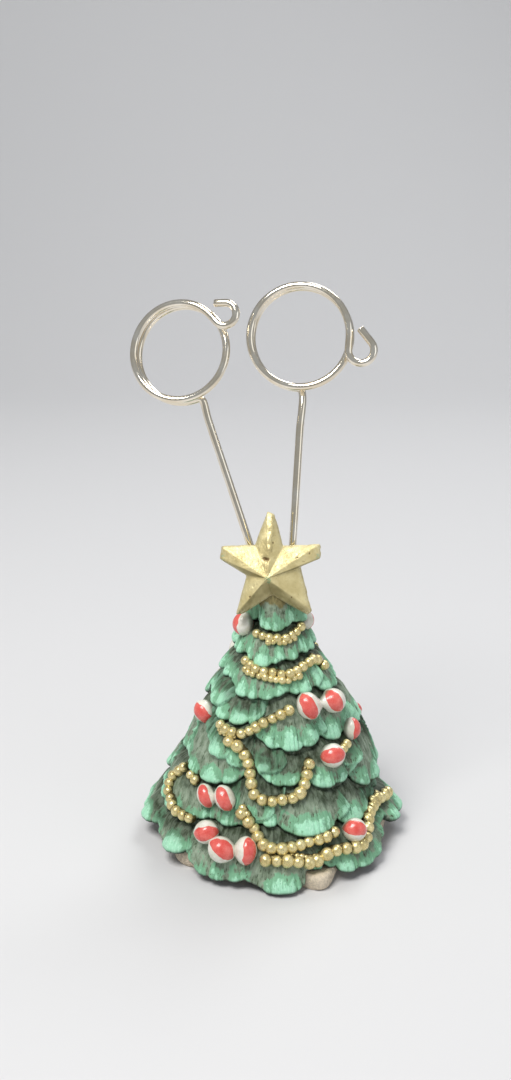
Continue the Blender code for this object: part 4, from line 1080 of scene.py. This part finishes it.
def green_paint():
    """Grey-green faces with fine dark strokes, and mint brushed over lips and lobes."""
    s = paint("painted_fronds")
    stroke = s.kept("stroke", "Vector")

    def streaks(across, down, detail, rough):
        return s.noise(s.scaled(stroke, (across, down, 1)), 1, detail, rough)

    hair = streaks(3.4, 0.5, 3.0, 0.5)
    brush = streaks(1.2, 0.55, 4, 0.6)
    blotch = streaks(0.42, 0.34, 4, 0.6)
    broad = streaks(0.1, 0.1, 2.0, 0.5)
    fleck = streaks(2.2, 1.2, 3, 0.6)
    inside, comb = s.kept("inside"), s.kept("comb")

    # The face: grey-green, darker in its brush strokes, with painted shade in its grooves
    face = s.mix(s.range(blotch, 0.35, 0.65), (0.19, 0.252, 0.175), (0.35, 0.43, 0.325))
    dark = s.range(hair, 0.44, 0.385) * s.range(blotch, 0.6, 0.42, 0.2, 0.8)
    dark = s.range(comb * 0.65 + dark, 0.25, 0.8)
    face = s.mix(dark * 0.85, face, (0.04, 0.06, 0.024))

    # Brushed paint: green and then mint, the more the nearer to a lobe and to the lip
    level = s.kept("lobe") * 0.85 + blotch * 1.75 + brush * 0.25 + broad * 0.9
    level = level - inside * 0.085 - dark * 0.3
    green = s.mix(s.range(level, 1.3, 1.52), face, (0.215, 0.465, 0.285))
    mint = s.mix(s.range(level, 1.78, 2.04), green, (0.4, 0.785, 0.545))
    bright = s.range(level, 1.8, 2) * s.range(fleck, 0.52, 0.62)
    mint = s.mix(bright * 0.6, mint, (0.59, 0.93, 0.72))
    rim = s.range(inside, 0.2, 1.1, 0.7, 0) * s.range(brush, 0.4, 0.55)
    mint = s.mix(rim, mint, (0.33, 0.66, 0.44))
    # Painted shade in the grooves, over the mint too
    mint = s.mix(comb * 0.5, mint, (0.06, 0.15, 0.08))

    # Painted shade under the lip above and under its own, and gold that has run from the star
    shade_under_lip = s.kept("shade_under_lip") * s.range(blotch, 0.3, 0.6, 1, 0.6)
    s.color = s.mix(shade_under_lip, mint, (0.022, 0.034, 0.013))
    gilded = s.mix(s.range(brush, 0.3, 0.7), (0.15, 0.135, 0.055), (0.32, 0.27, 0.115))
    s.coat(s.kept("gilt"), gilded)
    # Painted shade on the underside of the rolled lip
    s.coat(s.range(s.kept("under"), 0.08, 0.5), (0.02, 0.042, 0.02))
    grit = s.grain(2600)
    normal = s.bump(hair + grit * 0.3 + brush * 0.7, 0.7, 0.0003)
    roughness = s.range(brush, 0.3, 0.75, 0.42, 0.6)
    return s.finish(roughness, Normal=normal, Specular_IOR_Level=0.3)


def gold_paint():
    """Gold on the star: cloudy, with painted shade where it faces down, paler at its edges."""
    s = paint("star_paint")
    cloud = s.grain(260, 4, 0.6)
    fine = s.grain(1500, 4, 0.65)
    s.color = s.mix(s.range(cloud, 0.32, 0.7), (0.6, 0.5, 0.235), (0.77, 0.67, 0.36))
    s.coat(s.range(fine, 0.6, 0.72) * 0.4, (0.34, 0.27, 0.11))
    # Painted shade on the facets that face down
    shade_facing_down = s.kept("shade_facing_down") * s.range(cloud, 0.3, 0.7, 0.9, 0.65)
    s.coat(shade_facing_down, (0.175, 0.155, 0.062))
    smear = s.kept("smear") * s.range(fine, 0.4, 0.6, 0.3, 1)
    s.coat(s.range(smear, 0.3, 0.5, 0, 0.7), (0.19, 0.37, 0.2))
    s.coat(s.range(s.kept("pit"), 0.3, 0.85), (0.16, 0.1, 0.035))
    # Paler gold towards the star's edges and down its rim
    paler_edge = s.kept("paler_edge") * s.range(fine, 0.4, 0.6)
    s.coat(paler_edge * 0.6, (0.8, 0.74, 0.5))
    normal = s.bump(fine + cloud * 0.6, 0.5, 0.00025)
    roughness = s.range(fine, 0.3, 0.7, 0.36, 0.55)
    return s.finish(roughness, Normal=normal, Metallic=0.5)


def bead_paint():
    """Antique gold, with painted shade between the beads and where they meet the fronds."""
    s = paint("bead_paint")
    cloud = s.grain(420, 3, 0.6)
    fine = s.grain(2200, 3, 0.6)
    s.color = s.mix(s.range(cloud, 0.3, 0.7), (0.62, 0.51, 0.225), (0.84, 0.73, 0.39))
    # Painted shade in the crevices
    depth = s.kept("crevice") + fine * 0.35
    s.coat(s.range(depth, 0.45, 0.95), (0.075, 0.058, 0.017))
    roughness = s.range(fine, 0.3, 0.7, 0.24, 0.4)
    return s.finish(roughness, Normal=s.bump(fine, 0.35, 0.0002), Metallic=0.65)


def candy_paint():
    """Red and white glaze with a ragged line between them, and painted shade toward the fronds."""
    s = paint("candy_glaze")
    ragged = s.grain(1300, 3, 0.6)
    cloud = s.grain(500, 2)
    edge = s.kept("stripe") + (ragged - 0.5) * 0.07
    white = s.mix(s.range(cloud, 0.3, 0.7), (0.7, 0.68, 0.57), (0.86, 0.84, 0.76))
    red = s.mix(s.range(cloud, 0.3, 0.7), (0.7, 0.085, 0.07), (0.8, 0.16, 0.13))
    s.color = s.mix(s.range(edge, -0.01, 0.03), white, red)
    # Painted shade toward the fronds
    s.coat(s.kept("shade_toward_tree") * 0.7, (0.1, 0.13, 0.08))
    normal = s.bump(cloud + ragged * 0.3, 0.35, 0.0003)
    roughness = s.range(ragged, 0.3, 0.7, 0.16, 0.34)
    return s.finish(roughness, Normal=normal, Coat_Weight=0.4, Coat_Roughness=0.12)


def bare_resin():
    """Unpainted resin, matte and grainy."""
    s = paint("bare_cast_resin")
    grain = s.grain(1500, 5, 0.7)
    cloud = s.grain(160)
    s.color = s.mix(s.range(grain, 0.35, 0.68), (0.48, 0.41, 0.31), (0.84, 0.72, 0.55))
    s.coat(s.range(cloud, 0.45, 0.7) * 0.45, (0.84, 0.73, 0.57))
    return s.finish(0.85, Normal=s.bump(grain, 0.7, 0.0004))


def polished_wire():
    """Bright steel with a warm film and fine scratches."""
    s = paint("polished_wire")
    scratch = s.noise(s.scaled(s.place(), (1, 1, 0.15)), 2400, 2)
    film = s.grain(180)
    s.color = s.mix(s.range(film, 0.35, 0.7), (0.8, 0.71, 0.56), (0.9, 0.84, 0.73))
    return s.finish(s.range(scratch, 0.3, 0.75, 0.07, 0.15), Metallic=1)


def dress(piece, node, material):
    """Gives a piece its finish and ties it to the CAD node that it stands for."""
    piece.data.materials.append(material)
    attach(piece, BODY)
    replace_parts(piece, node)
    return piece


def aimed(name, data, place, way):
    """An object at a place, that looks or shines along a way."""
    obj = link(bpy.data.objects.new(name, data))
    obj.location = place
    obj.rotation_euler = Vector(way).to_track_quat("-Z", "Y").to_euler()
    return obj


def camera():
    data = bpy.data.cameras.new("camera")
    data.sensor_fit = "VERTICAL"
    data.sensor_width = data.sensor_height = CAMERA_SENSOR
    data.lens = CAMERA_LENS
    data.clip_start = 0.01
    way = -view_axes(CAMERA_LEFT, CAMERA_DOWN)[2]
    bpy.context.scene.camera = aimed("camera", data, CAMERA_PLACE, way)


def floor():
    """A pale floor that sweeps up into a backdrop."""
    turn = np.linspace(0, pi / 2, 13)
    back, rise = FLOOR_SWEEP * np.sin(turn), FLOOR_SWEEP * (1 - np.cos(turn))
    profile = [(FLOOR_FRONT, 0), *zip(FLOOR_BACK + back, rise), (FLOOR_BACK + FLOOR_SWEEP, FLOOR_TOP)]
    points = [(x, y, z) for y, z in profile for x in (-FLOOR_HALF, FLOOR_HALF)]
    faces = [(2 * i, 2 * i + 1, 2 * i + 3, 2 * i + 2) for i in range(len(profile) - 1)]
    mesh = bpy.data.meshes.new("floor")
    mesh.from_pydata(points, [], faces)
    mesh.shade_smooth()
    card = paint("floor_card")
    card.color = (0.66, 0.66, 0.67)
    mesh.materials.append(card.finish(0.7))
    link(bpy.data.objects.new("floor", mesh))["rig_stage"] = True


def area_light(name, place, size, power, color=(1, 1, 1)):
    data = bpy.data.lights.new(name, "AREA")
    data.shape = "RECTANGLE"
    data.size, data.size_y = size
    data.energy = power
    data.color = color
    aimed(name, data, place, Vector(LIGHT_TARGET) - Vector(place))


def studio():
    """A pale floor, soft lamps and an even world that looks pale behind the floor."""
    floor()
    world = bpy.data.worlds.new("studio")
    s = Nodes(world)
    glossy = s.node("LightPath", (), "Is Glossy Ray")
    strength = s.range(glossy, 0, 1, WORLD_STRENGTH, WORLD_GLOSSY)
    strength = strength + s.node("LightPath", (), "Is Camera Ray") * WORLD_SHOWN
    s.set("Background", Color=(0.9, 0.95, 1.0), Strength=strength)
    bpy.context.scene.world = world
    area_light("key", (-0.26, -0.34, 0.8), (0.38, 0.38), 7.0, (1.0, 0.98, 0.95))
    area_light("fill", (0.7, -0.5, 0.35), (0.6, 0.6), 0.9, (0.95, 0.97, 1.0))
    area_light("back", (0.25, 0.45, 0.7), (0.4, 0.3), 2.5)
    bpy.context.scene.view_settings.view_transform = "Standard"


def main():
    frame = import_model()
    camera()
    studio()
    green = green_paint()
    carriers = []
    for tier in range(len(TIERS)):
        node = f"branch_tier_{tier + 1}"
        carriers.append(dress(tier_piece(tier), node, green))
    dress(foot_piece(), "plinth", bare_resin())
    carriers.append(dress(star_piece(), "star", gold_paint()))
    steel = polished_wire()
    for name, wire in WIRES.items():
        dress(wire_piece(name, wire), name, steel)
    tree = search_tree(carriers)
    glaze = candy_paint()
    centers = [candy_center(number, tree) for number in range(len(CANDIES))]
    for number in range(len(CANDIES)):
        dress(candy_piece(number, centers), f"peppermint_{number + 1:02d}", glaze)
    gold = bead_paint()
    for seed, (name, (diameter, hung)) in enumerate(GARLANDS.items(), GARLAND_SEED):
        strand = garland_piece(name, diameter, hung, tree, seed)
        dress(strand, f"garland_{name}", gold)
    shown = {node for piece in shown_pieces() for node in piece.get("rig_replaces", [])}
    assert shown == set(frame["nodes"]), "every CAD node has a piece that stands for it"


main()
